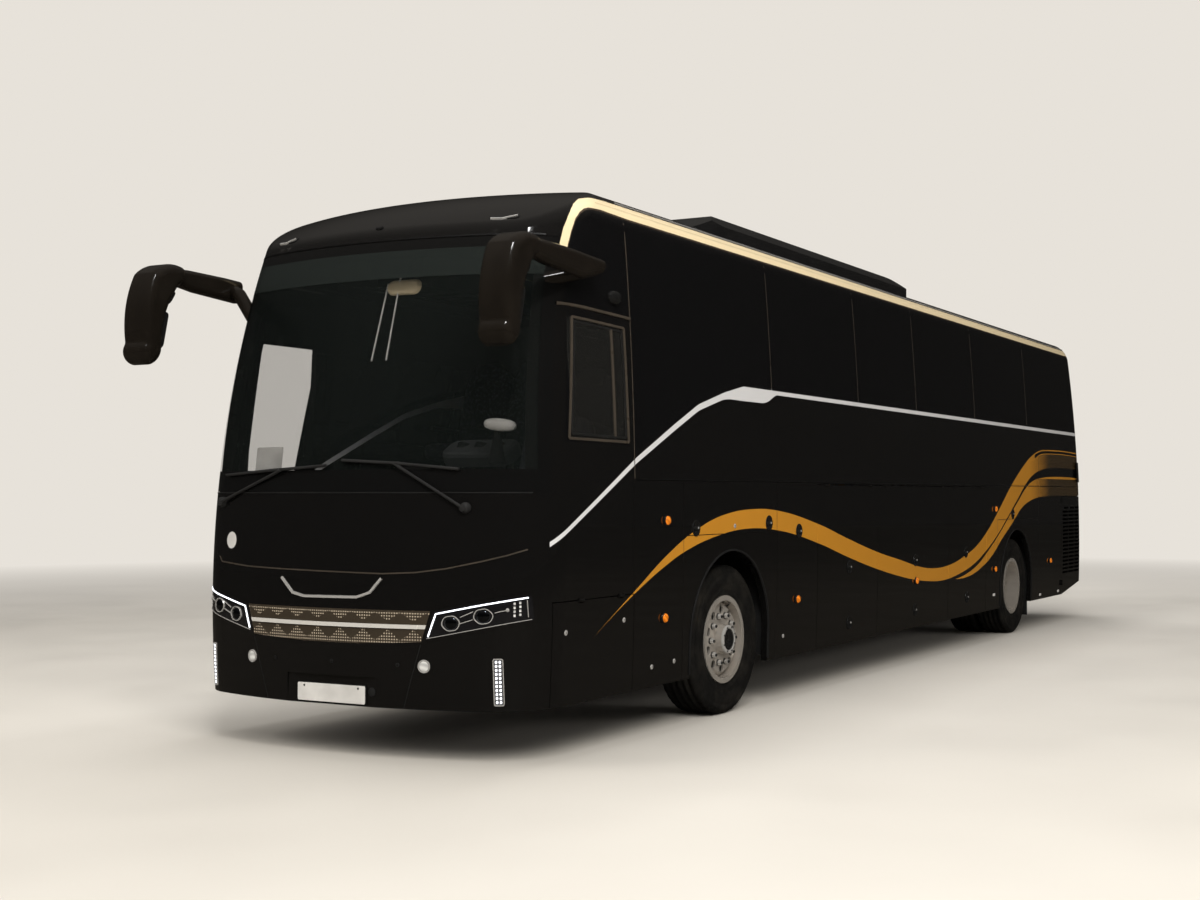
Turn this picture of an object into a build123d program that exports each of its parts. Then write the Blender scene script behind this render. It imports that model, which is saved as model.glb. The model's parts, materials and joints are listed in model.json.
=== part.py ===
"""A 12.8 m high-floor touring coach, built from its real panels, doors, glass, axles and wheels.

Millimetres. Frame: origin on the ground under the middle of the coach, the nose toward -Y,
+X the coach's left (driver's) side, +Z up.
"""
import os
from math import asin, cos, hypot, pi, radians, sin, sqrt

from build123d import *

os.makedirs("parts", exist_ok=True)

# ---------------------------------------------------------------- driving dimensions
SKIRT_Z = 309
ROOF_TOP_Z = 3440
# The body's three long arcs, each through three points from skirt to roof.
ARC_TOP_Z = 3480
SIDE_ARC = [(1257, SKIRT_Z), (1275, 1230), (1163, ARC_TOP_Z)]  # half width, z
NOSE_ARC = [(-6287, SKIRT_Z), (-6200, 2050), (-5795, ARC_TOP_Z)]  # y on the centre line, z
TAIL_ARC = [(6500, SKIRT_Z), (6475, 1250), (6245, ARC_TOP_Z)]
NOSE_BOW_R = 3400  # plan radius of the bowed nose
NOSE_CORNER_R = 420
TAIL_BOW_R = 7000
TAIL_CORNER_R = 300
ROOF_CROWN_R = 13600
ROOF_EDGE_R = 250  # rolled edge all round the roof
# The dome rolls down to the windscreen in one long arc: y on the centre line, z.
DOME_ARC = [(-5890, 3140), (-5618, 3300), (-4800, 3432)]
DOME_LOW_Z = 3000  # foot of that roll
DOME_EDGE_R = 120  # its rounded sides
DOME_TURN = 3  # edges that turn less, in degrees, stay as they are
WALL = 50  # whole wall, door and roof panel
GLASS = 10  # bonded glass, flush with the outside
GAP = 6  # seam round every moving panel
SEAM = 6  # rubber seam between two fixed panes

BELT_Z = 1600
STRIPE_Z = 2288  # lower edge of the side glass
GLASS_TOP_Z = 3225
ROOF_SEAM_Z = 3305
SCREEN_LOW_Z = 1535
SCREEN_TOP_Z = 3036
DECK_Z = 1400  # passenger floor
DECK_T = 60
CAB_Z = 950  # driver's platform
HOLD_Z = 420  # luggage floor
FAR = 9000

FRONT_AXLE_Y = -3640
REAR_AXLE_Y = 3360
CAB_BACK_Y = FRONT_AXLE_Y - 1110
HOLD_Y = (FRONT_AXLE_Y + 740, REAR_AXLE_Y - 720)  # luggage floor, front to rear
TYRE_R = 515
TYRE_W = 295
RIM_R = 290  # tyre bore on the rim
FRONT_WHEEL_X = 1085
TWIN_SPACING = 330
ARCH_R = 600
ARCH_Z = 530
HOUSE_HALF = 640  # wheelhouse half length
HOUSE_TOP_Z = 1190
HOUSE_X = 560
HOUSE_Z = 760  # top of the axle's way through a wheelhouse
AXLE_WAY = 180
SPRING_R = 100
SPRING_X = 440
SPRING_Z = 900
SHEET = 10

# Seam between the front mask and the side walls, seen from the side: y, z upward.
MASK_SEAM = [
    (-5900, 200),
    (-5890, 1220),
    (-5877, 1550),
    (-5834, 2060),
    (-5770, 2470),
    (-5694, 2830),
    (-5640, 3036),
    (-5580, 3180),
    (-5480, 3300),
    (-5400, 3600),
    (-5400, 3900),
]
# Seam between the side walls and the rear wall, seen from the side: y, z upward.
REAR_SEAM_Y = 6250
REAR_LEAN = 140
REAR_SEAM = [(REAR_SEAM_Y, 0), (REAR_SEAM_Y, STRIPE_Z), (REAR_SEAM_Y - REAR_LEAN, ROOF_SEAM_Z)]
# Step line across the nose between upper panel and bumper: x, z.
STEP_LINE = [(0, 1092), (360, 1092), (960, 1139), (1400, 1265)]

parts = {}


# ---------------------------------------------------------------- small helpers
def block(x0, x1, y0, y1, z0, z1):
    """An upright box from its six faces."""
    size = Box(x1 - x0, y1 - y0, z1 - z0)
    return Pos((x0 + x1) / 2, (y0 + y1) / 2, (z0 + z1) / 2) * size


def prism_x(points, x0, x1):
    """A (y, z) outline run across the coach from x0 to x1."""
    face = make_face(Polyline(*[(x0, y, z) for y, z in points], close=True))
    return extrude(face, amount=x1 - x0, dir=(1, 0, 0))


def prism_y(points, y0, y1):
    """An (x, z) outline run along the coach from y0 to y1."""
    face = make_face(Polyline(*[(x, y0, z) for x, z in points], close=True))
    return extrude(face, amount=y1 - y0, dir=(0, 1, 0))


def rod(a, b, r):
    """A round bar between two points."""
    a, b = Vector(*a), Vector(*b)
    way = b - a
    plane = Plane(origin=(a + b) * 0.5, z_dir=way.normalized())
    return plane.location * Cylinder(r, way.length)


def mirrored(shape):
    """The same piece on the other side of the coach."""
    return mirror(shape, about=Plane.YZ)


def side_x(solid, z):
    """Half width of the body's outside at a height."""
    return (solid & block(-FAR, FAR, -1000, 1000, z - 0.5, z + 0.5)).bounding_box().max.X


# ---------------------------------------------------------------- body form
def circle_through(arc):
    """Centre and radius of the circle through three points."""
    (ax, ay), (bx, by), (cx, cy) = arc
    a2, b2, c2 = ax**2 + ay**2, bx**2 + by**2, cx**2 + cy**2
    twice = 2 * (ax * (by - cy) + bx * (cy - ay) + cx * (ay - by))
    u = (a2 * (by - cy) + b2 * (cy - ay) + c2 * (ay - by)) / twice
    v = (a2 * (cx - bx) + b2 * (ax - cx) + c2 * (bx - ax)) / twice
    return u, v, hypot(ax - u, ay - v)


def long_bar(x, z, r):
    """A round bar the length of the coach."""
    return Pos(x, 0, z) * (Rot(90, 0, 0) * Cylinder(r, 2 * FAR))


def bowed_end(arc, bow_r, way, inset):
    """What lies beyond the bowed nose (way -1) or tail (way +1)."""
    mid_y, mid_z, r = circle_through(arc)
    axis_y = arc[1][0] - way * bow_r
    low, high = SKIRT_Z - 400, ROOF_TOP_Z + 400

    def at(z):
        reach = mid_y + way * sqrt((r - inset) ** 2 - (z - mid_z) ** 2)
        return (0, 2 * axis_y - reach, z)

    bow = ThreePointArc(at(low), at((low + high) / 2), at(high))
    foot, head = (0, axis_y, low), (0, axis_y, high)
    section = Face(Wire([Line(foot, at(low)), bow, Line(at(high), head), Line(head, foot)]))
    turned = revolve(section, Axis((0, axis_y, 0), (0, 0, 1)))
    y0, y1 = sorted((axis_y, way * FAR))
    return block(-FAR, FAR, y0, y1, low, high) - turned


def dome_trim(inset):
    """What the dome's long roll takes off the front of the roof."""
    mid_y, mid_z, r = circle_through(DOME_ARC)
    axis_y = NOSE_ARC[1][0] + NOSE_BOW_R
    first = asin((DOME_LOW_Z - mid_z) / (r - inset))

    def at(angle):
        return (0, mid_y - (r - inset) * cos(angle), mid_z + (r - inset) * sin(angle))

    low, high = at(first), at(pi / 2)
    roll = ThreePointArc(low, at((first + pi / 2) / 2), high)
    foot, head = (0, axis_y, low[2]), (0, axis_y, high[2])
    section = Face(Wire([Line(foot, low), roll, Line(high, head), Line(head, foot)]))
    turned = revolve(section, Axis((0, axis_y, 0), (0, 0, 1)))
    return block(-FAR, FAR, -FAR, high[1], DOME_LOW_Z, FAR) - turned


def turns_at(shape, edge):
    """How far, in degrees, the shape's faces turn at the middle of an edge."""
    mid = edge @ 0.5
    normals = [face.normal_at(mid) for face in shape.faces() if face.distance_to(mid) < 0.01]
    return max(a.get_angle(b) for a in normals for b in normals)


def body_form(inset=0):
    """The whole body as one closed form, set in from the outside by inset."""
    mid_x, mid_z, r = circle_through(SIDE_ARC)
    form = block(-2000, 2000, -FAR, FAR, SKIRT_Z - inset, ROOF_TOP_Z + 10)
    form = form & long_bar(mid_x, mid_z, r - inset) & long_bar(-mid_x, mid_z, r - inset)
    ends = [(NOSE_ARC, NOSE_BOW_R, NOSE_CORNER_R, -1), (TAIL_ARC, TAIL_BOW_R, TAIL_CORNER_R, 1)]
    for arc, bow_r, corner_r, way in ends:
        form -= bowed_end(arc, bow_r, way, inset)
        corners = [e for e in form.edges() if abs((e @ 1).Z - (e @ 0).Z) > 1000]
        corners = [e for e in corners if way * (e @ 0.5).Y > way * arc[2][0] - 400]
        form = fillet(corners, corner_r - inset)
    form &= long_bar(0, ROOF_TOP_Z - inset - ROOF_CROWN_R, ROOF_CROWN_R)
    roof = form.faces().sort_by(Axis.Z)[-1]
    form = fillet(roof.edges(), ROOF_EDGE_R - inset)
    form -= dome_trim(inset)
    dome = [e for e in form.edges() if (e @ 0.5).Z > DOME_LOW_Z - 2 and (e @ 0.5).Y < DOME_ARC[-1][0]]
    return fillet([e for e in dome if turns_at(form, e) > DOME_TURN], DOME_EDGE_R - inset)


outer = body_form()
behind_glass = body_form(GLASS)
inner = body_form(WALL)

# The tail sweeps up behind the rear wheels.
TAIL_SWEEP = [(5320, SKIRT_Z - 20), (5320, SKIRT_Z), (6700, 505), (6700, SKIRT_Z - 20)]
tail_sweep = prism_x(TAIL_SWEEP, -FAR, FAR)
shell = outer - inner - tail_sweep
skin = outer - behind_glass
backing = behind_glass - inner

tail_region = prism_x(REAR_SEAM + [(FAR, REAR_SEAM[-1][1]), (FAR, 0)], -FAR, FAR)
mask = prism_x([(-FAR, MASK_SEAM[0][1])] + MASK_SEAM + [(-FAR, MASK_SEAM[-1][1])], -FAR, FAR)
above_roof_seam = block(-FAR, FAR, -FAR, FAR, ROOF_SEAM_Z, FAR)

# ---------------------------------------------------------------- hinges
HINGE_PIN_R = 4
PIN_FIT = 0.05
KNUCKLE_R = 9
LUG_LENGTH = 40
EAR_LENGTH = 10
EAR_GAP = 1
HINGE_CLEAR = 5


def hinge_plane(point, outward, along):
    """Local hinge frame: x outward, y toward the fixed side, z along the pin."""
    return Plane(origin=point, x_dir=outward, z_dir=along)


def hinge_pieces(plane, depth):
    """The lug, its ears and pin, and the room each needs in the other piece."""
    half = LUG_LENGTH / 2
    ear_end = half + EAR_GAP + EAR_LENGTH
    room = KNUCKLE_R + HINGE_CLEAR
    lug = Cylinder(KNUCKLE_R, LUG_LENGTH)
    lug += block(-depth, 0, 0, room + 5, -half, half)
    lug -= Cylinder(HINGE_PIN_R + PIN_FIT, LUG_LENGTH + 2)
    ears = Cylinder(HINGE_PIN_R, 2 * ear_end)
    for side in (-1, 1):
        middle = side * (half + EAR_GAP + EAR_LENGTH / 2)
        ears += Pos(0, 0, middle) * Cylinder(KNUCKLE_R, EAR_LENGTH)
        low, high = sorted((side * (half + EAR_GAP), side * ear_end))
        ears += block(-depth, 0, -room - 1, 0, low, high)
    notch = block(-depth - 1, room, -room, 30, -half - EAR_GAP, half + EAR_GAP)
    relief = block(-depth - 1, room, -30, room, -ear_end - HINGE_CLEAR, ear_end + HINGE_CLEAR)
    place = plane.location
    return place * lug, place * ears, place * notch, place * relief


def hang(leaf, points, outward, along, depth=WALL):
    """Put ears and pins on a leaf. Returns it with the reliefs and lugs its frame takes."""
    sets = [hinge_pieces(hinge_plane(point, outward, along), depth) for point in points]
    leaf = leaf - [notch for _, _, notch, _ in sets] + [ears for _, ears, _, _ in sets]
    return leaf, [relief for *_, relief in sets], [lug for lug, *_ in sets]


# ---------------------------------------------------------------- side walls
side_band = block(0, FAR, -FAR, REAR_SEAM_Y, SKIRT_Z - 1, ROOF_SEAM_Z)
raw_wall = (shell & side_band) - mask - tail_region
for axle_y in (FRONT_AXLE_Y, REAR_AXLE_Y):
    raw_wall -= rod((0, axle_y, ARCH_Z), (FAR, axle_y, ARCH_Z), ARCH_R)
    raw_wall -= block(0, FAR, axle_y - ARCH_R, axle_y + ARCH_R, 0, ARCH_Z)

# Side panes: front y, rear y. The first one's lower edge climbs with the stripe.
PANES = [(-4980, -2940), (-2940, -1230), (-1230, 200), (200, 1950), (1950, 3870), (3870, 6240)]
POST = 60  # half width of a window post
RAIL = 45  # glass overlap on the rails above and below
RISE = [(-4980, 1770), (-4077, 2150), (-3740, 2255), (-3400, STRIPE_Z)]
first_low = RISE + [(PANES[0][1] - SEAM / 2, STRIPE_Z)]
pane_outlines = [
    first_low + [(PANES[0][1] - SEAM / 2, GLASS_TOP_Z), (PANES[0][0] + SEAM / 2, GLASS_TOP_Z)]
]
opening_outlines = [
    [
        (PANES[0][0] + POST, RISE[0][1] + 2 * RAIL),
        (RISE[1][0], RISE[1][1] + RAIL),
        (RISE[3][0], STRIPE_Z + RAIL),
        (PANES[0][1] - POST, STRIPE_Z + RAIL),
        (PANES[0][1] - POST, GLASS_TOP_Z - RAIL),
        (PANES[0][0] + POST, GLASS_TOP_Z - RAIL),
    ]
]
for y0, y1 in PANES[1:]:
    lean = REAR_LEAN if y1 == PANES[-1][1] else 0
    low, high, top = y0 + SEAM / 2, y1 - SEAM / 2, GLASS_TOP_Z
    pane_outlines.append([(low, STRIPE_Z), (high, STRIPE_Z), (high - lean, top), (low, top)])
    low, high, sill, top = y0 + POST, y1 - POST, STRIPE_Z + RAIL, GLASS_TOP_Z - RAIL
    opening_outlines.append([(low, sill), (high, sill), (high - lean, top), (low, top)])

# Driver's window and the quarter pane above it, left side only.
DRIVER_PANE = [(-5768, 1828), (-5035, 1822), (-5054, 2560), (-5674, 2578)]
DRIVER_OPENING = [(-5725, 1865), (-5080, 1865), (-5095, 2525), (-5640, 2535)]
QUARTER_PANE = [
    (-5690, 2640),
    (-4990, 2618),
    (-4990, GLASS_TOP_Z),
    (-5350, GLASS_TOP_Z),
    (-5500, 3140),
    (-5600, 2960),
]

side_skin = skin & side_band
panes = [side_skin & prism_x(outline, 0, FAR) for outline in pane_outlines]
driver_pane = side_skin & prism_x(DRIVER_PANE, 0, FAR)
quarter_pane = side_skin & prism_x(QUARTER_PANE, 0, FAR)

side_openings = [prism_x(outline, 0, FAR) for outline in opening_outlines]

# Side marker lamps, round and proud of the skin: y, z. One more rides on the middle luggage door.
MARKERS = [(-4586, 1355), (-4612, 733), (-2539, 728), (2537, 734), (2551, 1365), (4733, 739)]
DOOR_MARKER = (109, 734)
MARKER_R = 28
MARKER_OUT = 10


def marker(y, z):
    """A round lamp standing out of the left side."""
    x = side_x(outer, z)
    return rod((x - 30, y, z), (x + MARKER_OUT, y, z), MARKER_R) - outer


# Luggage doors, the same on both sides: name, front y, rear y.
LUGGAGE_DOORS = [("front", -2150, -850), ("middle", -850, 1030), ("rear", 1030, 2250)]
hold_front, hold_rear = LUGGAGE_DOORS[0][1], LUGGAGE_DOORS[-1][2]
HINGE_INSET = 180  # from a leaf's end to its hinge
belt_x = side_x(outer, BELT_Z - GAP) + 1
hold_mouth = block(0, FAR, hold_front, hold_rear, 0, BELT_Z)
wall_cuts = panes + side_openings + [hold_mouth]
wall_lugs = []
for name, y0, y1 in LUGGAGE_DOORS:
    low_y = y0 + (GAP if y0 == hold_front else GAP / 2)
    high_y = y1 - (GAP if y1 == hold_rear else GAP / 2)
    leaf = raw_wall & block(0, FAR, low_y, high_y, 0, BELT_Z - GAP)
    ends = [(belt_x, y0 + HINGE_INSET, BELT_Z - GAP), (belt_x, y1 - HINGE_INSET, BELT_Z - GAP)]
    leaf, reliefs, lugs = hang(leaf, ends, (1, 0, 0), (0, -1, 0))
    wall_cuts += reliefs
    wall_lugs += lugs
    if y0 < DOOR_MARKER[0] < y1:
        leaf += marker(*DOOR_MARKER)
    parts["luggage_door_left_" + name] = leaf
    parts["luggage_door_right_" + name] = mirrored(leaf)
both_walls = raw_wall - wall_cuts + wall_lugs
left_cuts, left_lugs = [driver_pane, prism_x(DRIVER_OPENING, 0, FAR), quarter_pane], []

# Service flap ahead of the driver's window line, left side, hinged along its top.
FLAP_Y = (-5880, -4985)
FLAP_TOP_Z = 905
flap_x = side_x(outer, FLAP_TOP_Z) + 2
flap = raw_wall & block(0, FAR, FLAP_Y[0] + GAP, FLAP_Y[1] - GAP, 0, FLAP_TOP_Z)
left_cuts.append(block(0, FAR, FLAP_Y[0], FLAP_Y[1], 0, FLAP_TOP_Z + GAP))
flap_ends = [(flap_x, y, FLAP_TOP_Z) for y in (-5600, -5150)]
flap, reliefs, lugs = hang(flap, flap_ends, (1, 0, 0), (0, -1, 0), WALL + 15)
left_cuts += reliefs
left_lugs += lugs
parts["service_flap_left"] = flap

# Radiator door behind the rear wheel, left side, hinged on its front edge.
RADIATOR_Y = (5273, REAR_SEAM_Y)
RADIATOR_TOP_Z = 1500
LOUVRE = (5330, 6180, 560, 1380)  # front y, rear y, low z, high z
LOUVRE_PITCH = 46
LOUVRE_SLOT = 24
LOUVRE_BARS = 3
SWING_GAP = 12  # seam at the free edge, which sweeps backward as it opens
radiator_x = SIDE_ARC[1][0] + 1
radiator_end = RADIATOR_Y[1] - SWING_GAP
radiator = raw_wall & block(0, FAR, RADIATOR_Y[0] + GAP, radiator_end, 0, RADIATOR_TOP_Z - GAP)
left_cuts.append(block(0, FAR, RADIATOR_Y[0], RADIATOR_Y[1] + 1, 0, RADIATOR_TOP_Z))
bay = (LOUVRE[1] - LOUVRE[0]) / LOUVRE_BARS
slots = []
slot_z = LOUVRE[2]
while slot_z + LOUVRE_SLOT <= LOUVRE[3]:
    for column in range(LOUVRE_BARS):
        y0 = LOUVRE[0] + column * bay
        slots.append(block(1000, FAR, y0 + 12, y0 + bay - 12, slot_z, slot_z + LOUVRE_SLOT))
    slot_z += LOUVRE_PITCH
radiator_ends = [(radiator_x, RADIATOR_Y[0] + GAP, z) for z in (450, 1440)]
radiator, reliefs, lugs = hang(radiator - slots, radiator_ends, (1, 0, 0), (0, 0, -1), WALL + 20)
left_cuts += reliefs
left_lugs += lugs
parts["radiator_door_left"] = radiator
parts["left_side_wall"] = both_walls - left_cuts + left_lugs

# ---------------------------------------------------------------- entrance door, right side
DOOR_OUTLINE = [(-5800, 345), (-4990, 345), (-4990, 2900), (-5590, 2900), (-5705, 2450), (-5790, 1800)]
DOOR_PANES = [
    [(-5760, 1420), (-5030, 1420), (-5030, 2850), (-5575, 2850), (-5665, 2450), (-5745, 1800)],
    [(-5760, 560), (-5030, 560), (-5030, 1360), (-5760, 1360)],
]
DOOR_OPENINGS = [
    [(-5705, 1480), (-5090, 1480), (-5090, 2790), (-5535, 2790), (-5612, 2450), (-5690, 1800)],
    [(-5705, 620), (-5090, 620), (-5090, 1300), (-5705, 1300)],
]
ARM_POST = (-1130, -5640)  # x, y of the door's swing post
ARM_LENGTH = 530
ARM_HEIGHTS = [490, 1400]
ARM_SWING = 110
POST_R = 20
PIVOT_R = 10
EYE_R = 24
ARM_HIGH = 30


def grown(outline, by):
    """An outline moved out all round by a distance."""
    face = make_face(Polyline(*[(y, z) for y, z in outline], close=True))
    bigger = offset(face, amount=by, kind=Kind.INTERSECTION)
    wire = bigger.faces()[0].outer_wire()
    return [(v.X, v.Y) for v in (edge.position_at(0) for edge in wire.order_edges())]


door_glass = [mirrored(side_skin & prism_x(outline, 0, FAR)) for outline in DOOR_PANES]
parts["door_glass"] = door_glass
door = mirrored(raw_wall & prism_x(DOOR_OUTLINE, 0, FAR))
door = door - door_glass - [prism_x(outline, -FAR, 0) for outline in DOOR_OPENINGS]

post_x, post_y = ARM_POST
pivot_y = post_y + ARM_LENGTH
BRACKET_T = 20
POST_OVER = (62, 90)  # post below the lower arm, above the upper arm
post_low, post_high = ARM_HEIGHTS[0] - POST_OVER[0], ARM_HEIGHTS[1] + POST_OVER[1]
arms = rod((post_x, post_y, post_low), (post_x, post_y, post_high), POST_R)
for z in ARM_HEIGHTS:
    arms += block(post_x - 14, post_x + 14, post_y, pivot_y, z - ARM_HIGH / 2, z + ARM_HIGH / 2)
    arms += rod((post_x, pivot_y, z - ARM_HIGH / 2), (post_x, pivot_y, z + ARM_HIGH / 2), EYE_R)
    arms -= rod((post_x, pivot_y, z - ARM_HIGH), (post_x, pivot_y, z + ARM_HIGH), PIVOT_R + PIN_FIT)
    low = z - ARM_HIGH / 2 - HINGE_CLEAR
    bracket = block(-FAR, post_x + EYE_R, pivot_y - 40, pivot_y + 40, low - BRACKET_T, low) & inner
    pin = rod((post_x, pivot_y, low - BRACKET_T / 2), (post_x, pivot_y, z + ARM_HIGH / 2 + 4), PIVOT_R)
    door = door + [bracket, pin]
parts["entrance_door"] = door
parts["door_arms"] = arms

# Bearings of the swing post, carried on the door's front jamb.
right_wall = mirrored(both_walls) - prism_x(grown(DOOR_OUTLINE, GAP), -FAR, 0)
for z in (post_low + 2, post_high - 2 - BRACKET_T):
    plate = block(-FAR, post_x + 40, post_y - 220, post_y + 35, z, z + BRACKET_T) & inner
    plate -= rod((post_x, post_y, z - 1), (post_x, post_y, z + BRACKET_T + 1), POST_R + PIN_FIT)
    plate -= prism_x(grown(DOOR_OUTLINE, GAP), -FAR, -1180)
    right_wall += plate
parts["right_side_wall"] = right_wall

# ---------------------------------------------------------------- roof, front and rear panels
parts["roof_panel"] = (shell & above_roof_seam) - mask
front_shell = shell & mask
above_screen = block(-FAR, FAR, -FAR, 0, SCREEN_TOP_Z, FAR)
screen_band = block(-FAR, FAR, -FAR, 0, SCREEN_LOW_Z, SCREEN_TOP_Z)
SCREEN_HOLE = [(-1150, 1640), (1150, 1640), (1060, 2930), (-1060, 2930)]
surround = (backing & mask & screen_band) - prism_y(SCREEN_HOLE, -FAR, 0)
parts["front_dome"] = (front_shell & above_screen) + surround
glass_band = block(-FAR, FAR, -FAR, 0, SCREEN_LOW_Z + SEAM / 2, SCREEN_TOP_Z - SEAM / 2)
parts["windscreen"] = skin & mask & glass_band
step_edge = [(-x, z) for x, z in reversed(STEP_LINE[1:])] + STEP_LINE[1:]
above_step = prism_y(step_edge + [(FAR, FAR), (-FAR, FAR)], -FAR, 0)
below_screen = block(-FAR, FAR, -FAR, 0, 0, SCREEN_LOW_Z)
parts["front_panel"] = front_shell & below_screen & above_step

# Headlamps and grille, seen from the front: x, z.
HEADLAMP = [(699, 865), (642, 702), (1209, 819), (1200, 957)]
GRILLE = [(-677, 866), (677, 866), (622, 690), (200, 672), (-200, 672), (-622, 690)]
GRILLE_STRIP_Z = (764, 786)
FOG_LAMP = (639, 555, 34)  # x, z, radius
LED_STRIP = (1040, 1078, 349, 601)  # x, x, z, z
PLATE = (260, 318, 430)  # half width, low z, high z
PLATE_T = 4
RECESS = (330, SKIRT_Z - 1, 480, 14)  # half width, low z, high z, depth
TOW_EYE = (295, 395)  # x, z of the towing-eye socket in the recess
TOW_EYE_R = 14
TOW_BOSS_R = 26
TOW_EYE_DEPTH = 80

bumper = front_shell & below_screen - above_step
lamp_prism = prism_y(HEADLAMP, -FAR, -5700)
grille_prism = prism_y(GRILLE, -FAR, -6000)
fog_x, fog_z, fog_r = FOG_LAMP
fog_prism = rod((fog_x, -FAR, fog_z), (fog_x, -6100, fog_z), fog_r)
led_prism = block(LED_STRIP[0], LED_STRIP[1], -FAR, -6000, LED_STRIP[2], LED_STRIP[3])
lamp_forms = [lamp_prism, fog_prism, led_prism]
front_lamps = [front_shell & form for form in lamp_forms]
front_lamps += [mirrored(lamp) for lamp in front_lamps]
bumper -= lamp_forms + [mirrored(form) for form in lamp_forms] + [grille_prism]
recess_y = NOSE_ARC[0][0] + RECESS[3]
bumper -= block(-RECESS[0], RECESS[0], -FAR, recess_y, RECESS[1], RECESS[2])
plate = block(-PLATE[0], PLATE[0], recess_y - PLATE_T, recess_y, PLATE[1], PLATE[2])
tow_x, tow_z = TOW_EYE
tow_end = recess_y + TOW_EYE_DEPTH
bumper = bumper + [plate, rod((tow_x, recess_y, tow_z), (tow_x, tow_end, tow_z), TOW_BOSS_R)]
bumper -= rod((tow_x, recess_y - 1, tow_z), (tow_x, tow_end + 1, tow_z), TOW_EYE_R)
parts["front_bumper"] = bumper
grille = front_shell & grille_prism
strip_band = block(-600, 600, -FAR, -6100, *GRILLE_STRIP_Z)
STRIP_OUT = 8
strip = (Pos(0, -STRIP_OUT, 0) * front_shell & strip_band & grille_prism) - outer
parts["front_grille"] = grille + strip

rear_shell = shell & tail_region & block(-FAR, FAR, 0, FAR, 0, ROOF_SEAM_Z)
REAR_GLASS = [(-980, 2300), (980, 2300), (930, 3100), (-930, 3100)]
REAR_OPENING = [(-920, 2360), (920, 2360), (880, 3040), (-880, 3040)]
LID = (-880, 880, 560, 1560)  # x, x, low z, high z
TAIL_LAMP = (960, 1130, 780, 1480)  # x, x, low z, high z
rear_pane = skin & prism_y(REAR_GLASS, 5900, FAR)
rear_wall = rear_shell - rear_pane - prism_y(REAR_OPENING, 5900, FAR)
lid = rear_shell & block(LID[0], LID[1], 5900, FAR, LID[2], LID[3])
lid_hole = block(LID[0] - GAP, LID[1] + GAP, 5900, FAR, LID[2] - GAP, LID[3] + GAP)
tail_lamp_form = block(TAIL_LAMP[0], TAIL_LAMP[1], 5900, FAR, TAIL_LAMP[2], TAIL_LAMP[3])
tail_lamps = [rear_shell & tail_lamp_form, rear_shell & mirrored(tail_lamp_form)]
rear_wall = rear_wall - lid_hole - tail_lamp_form - mirrored(tail_lamp_form)
lid_y = (outer & block(-10, 10, 0, FAR, LID[3] - 1, LID[3])).bounding_box().max.Y + 1
lid_ends = [(x, lid_y, LID[3]) for x in (-550, 550)]
lid, reliefs, lugs = hang(lid, lid_ends, (0, 1, 0), (1, 0, 0), WALL + 40)
rear_wall = rear_wall - reliefs + lugs
parts["engine_lid"] = lid
parts["rear_wall"] = rear_wall
parts["tail_lamps"] = tail_lamps
parts["body_windows"] = (
    panes + [mirrored(pane) for pane in panes] + [driver_pane, quarter_pane, rear_pane]
)

for y, z in MARKERS:
    front_lamps += [marker(y, z), mirrored(marker(y, z))]
parts["front_lamps"] = front_lamps

# ---------------------------------------------------------------- roof air conditioner
AC_Y = (-3400, 950)
AC_HALF = 960
AC_TOP_Z = 3612
AC_BASE_Z = ROOF_TOP_Z - 120
# Side view: y, z. The nose is a long slope.
ac_side = [
    (AC_Y[0], AC_BASE_Z),
    (AC_Y[0], ROOF_TOP_Z),
    (AC_Y[0] + 330, AC_TOP_Z),
    (AC_Y[1] - 260, AC_TOP_Z - 12),
    (AC_Y[1], ROOF_TOP_Z - 20),
    (AC_Y[1], AC_BASE_Z),
]
# End view: x, z.
ac_end = [(-AC_HALF, AC_BASE_Z), (AC_HALF, AC_BASE_Z), (940, 3500)]
ac_end += [(800, AC_TOP_Z), (-800, AC_TOP_Z), (-940, 3500)]
AC_NOSE_R = 420  # front corners from above
AC_TAIL_R = 260  # rear corners from above
AC_SIDE_R = 500
AC_EDGE_R = 150
plan = block(-AC_HALF, AC_HALF, *AC_Y, AC_BASE_Z, AC_TOP_Z + 100)
plan = fillet(plan.edges().filter_by(Axis.Z).sort_by(Axis.Y)[:2], AC_NOSE_R)
plan = fillet(plan.edges().filter_by(Axis.Z).sort_by(Axis.Y)[-2:], AC_TAIL_R)
hump = prism_x(ac_side, -FAR, FAR)
hump = fillet(hump.edges().filter_by(Axis.X).sort_by(Axis.Z)[-2:], AC_SIDE_R)
cover = prism_y(ac_end, AC_Y[0] - 100, AC_Y[1] + 100)
cover = fillet(cover.edges().filter_by(Axis.Y).sort_by(Axis.Z)[-2:], AC_EDGE_R)
parts["roof_ac_unit"] = (plan & hump & cover) - outer

# ---------------------------------------------------------------- floor and underframe
RISER_T = 40
CAB_EDGE_X = 1185  # clear of the service flap's hinges
deck_plate = block(-FAR, FAR, CAB_BACK_Y, 6150, DECK_Z - DECK_T, DECK_Z) & inner
cab_floor = block(-380, CAB_EDGE_X, -6050, CAB_BACK_Y, CAB_Z - DECK_T, CAB_Z) & inner
cab_riser = block(-380, CAB_EDGE_X, CAB_BACK_Y, CAB_BACK_Y + RISER_T, CAB_Z - DECK_T, DECK_Z) & inner
floor = deck_plate + cab_floor + cab_riser
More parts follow.
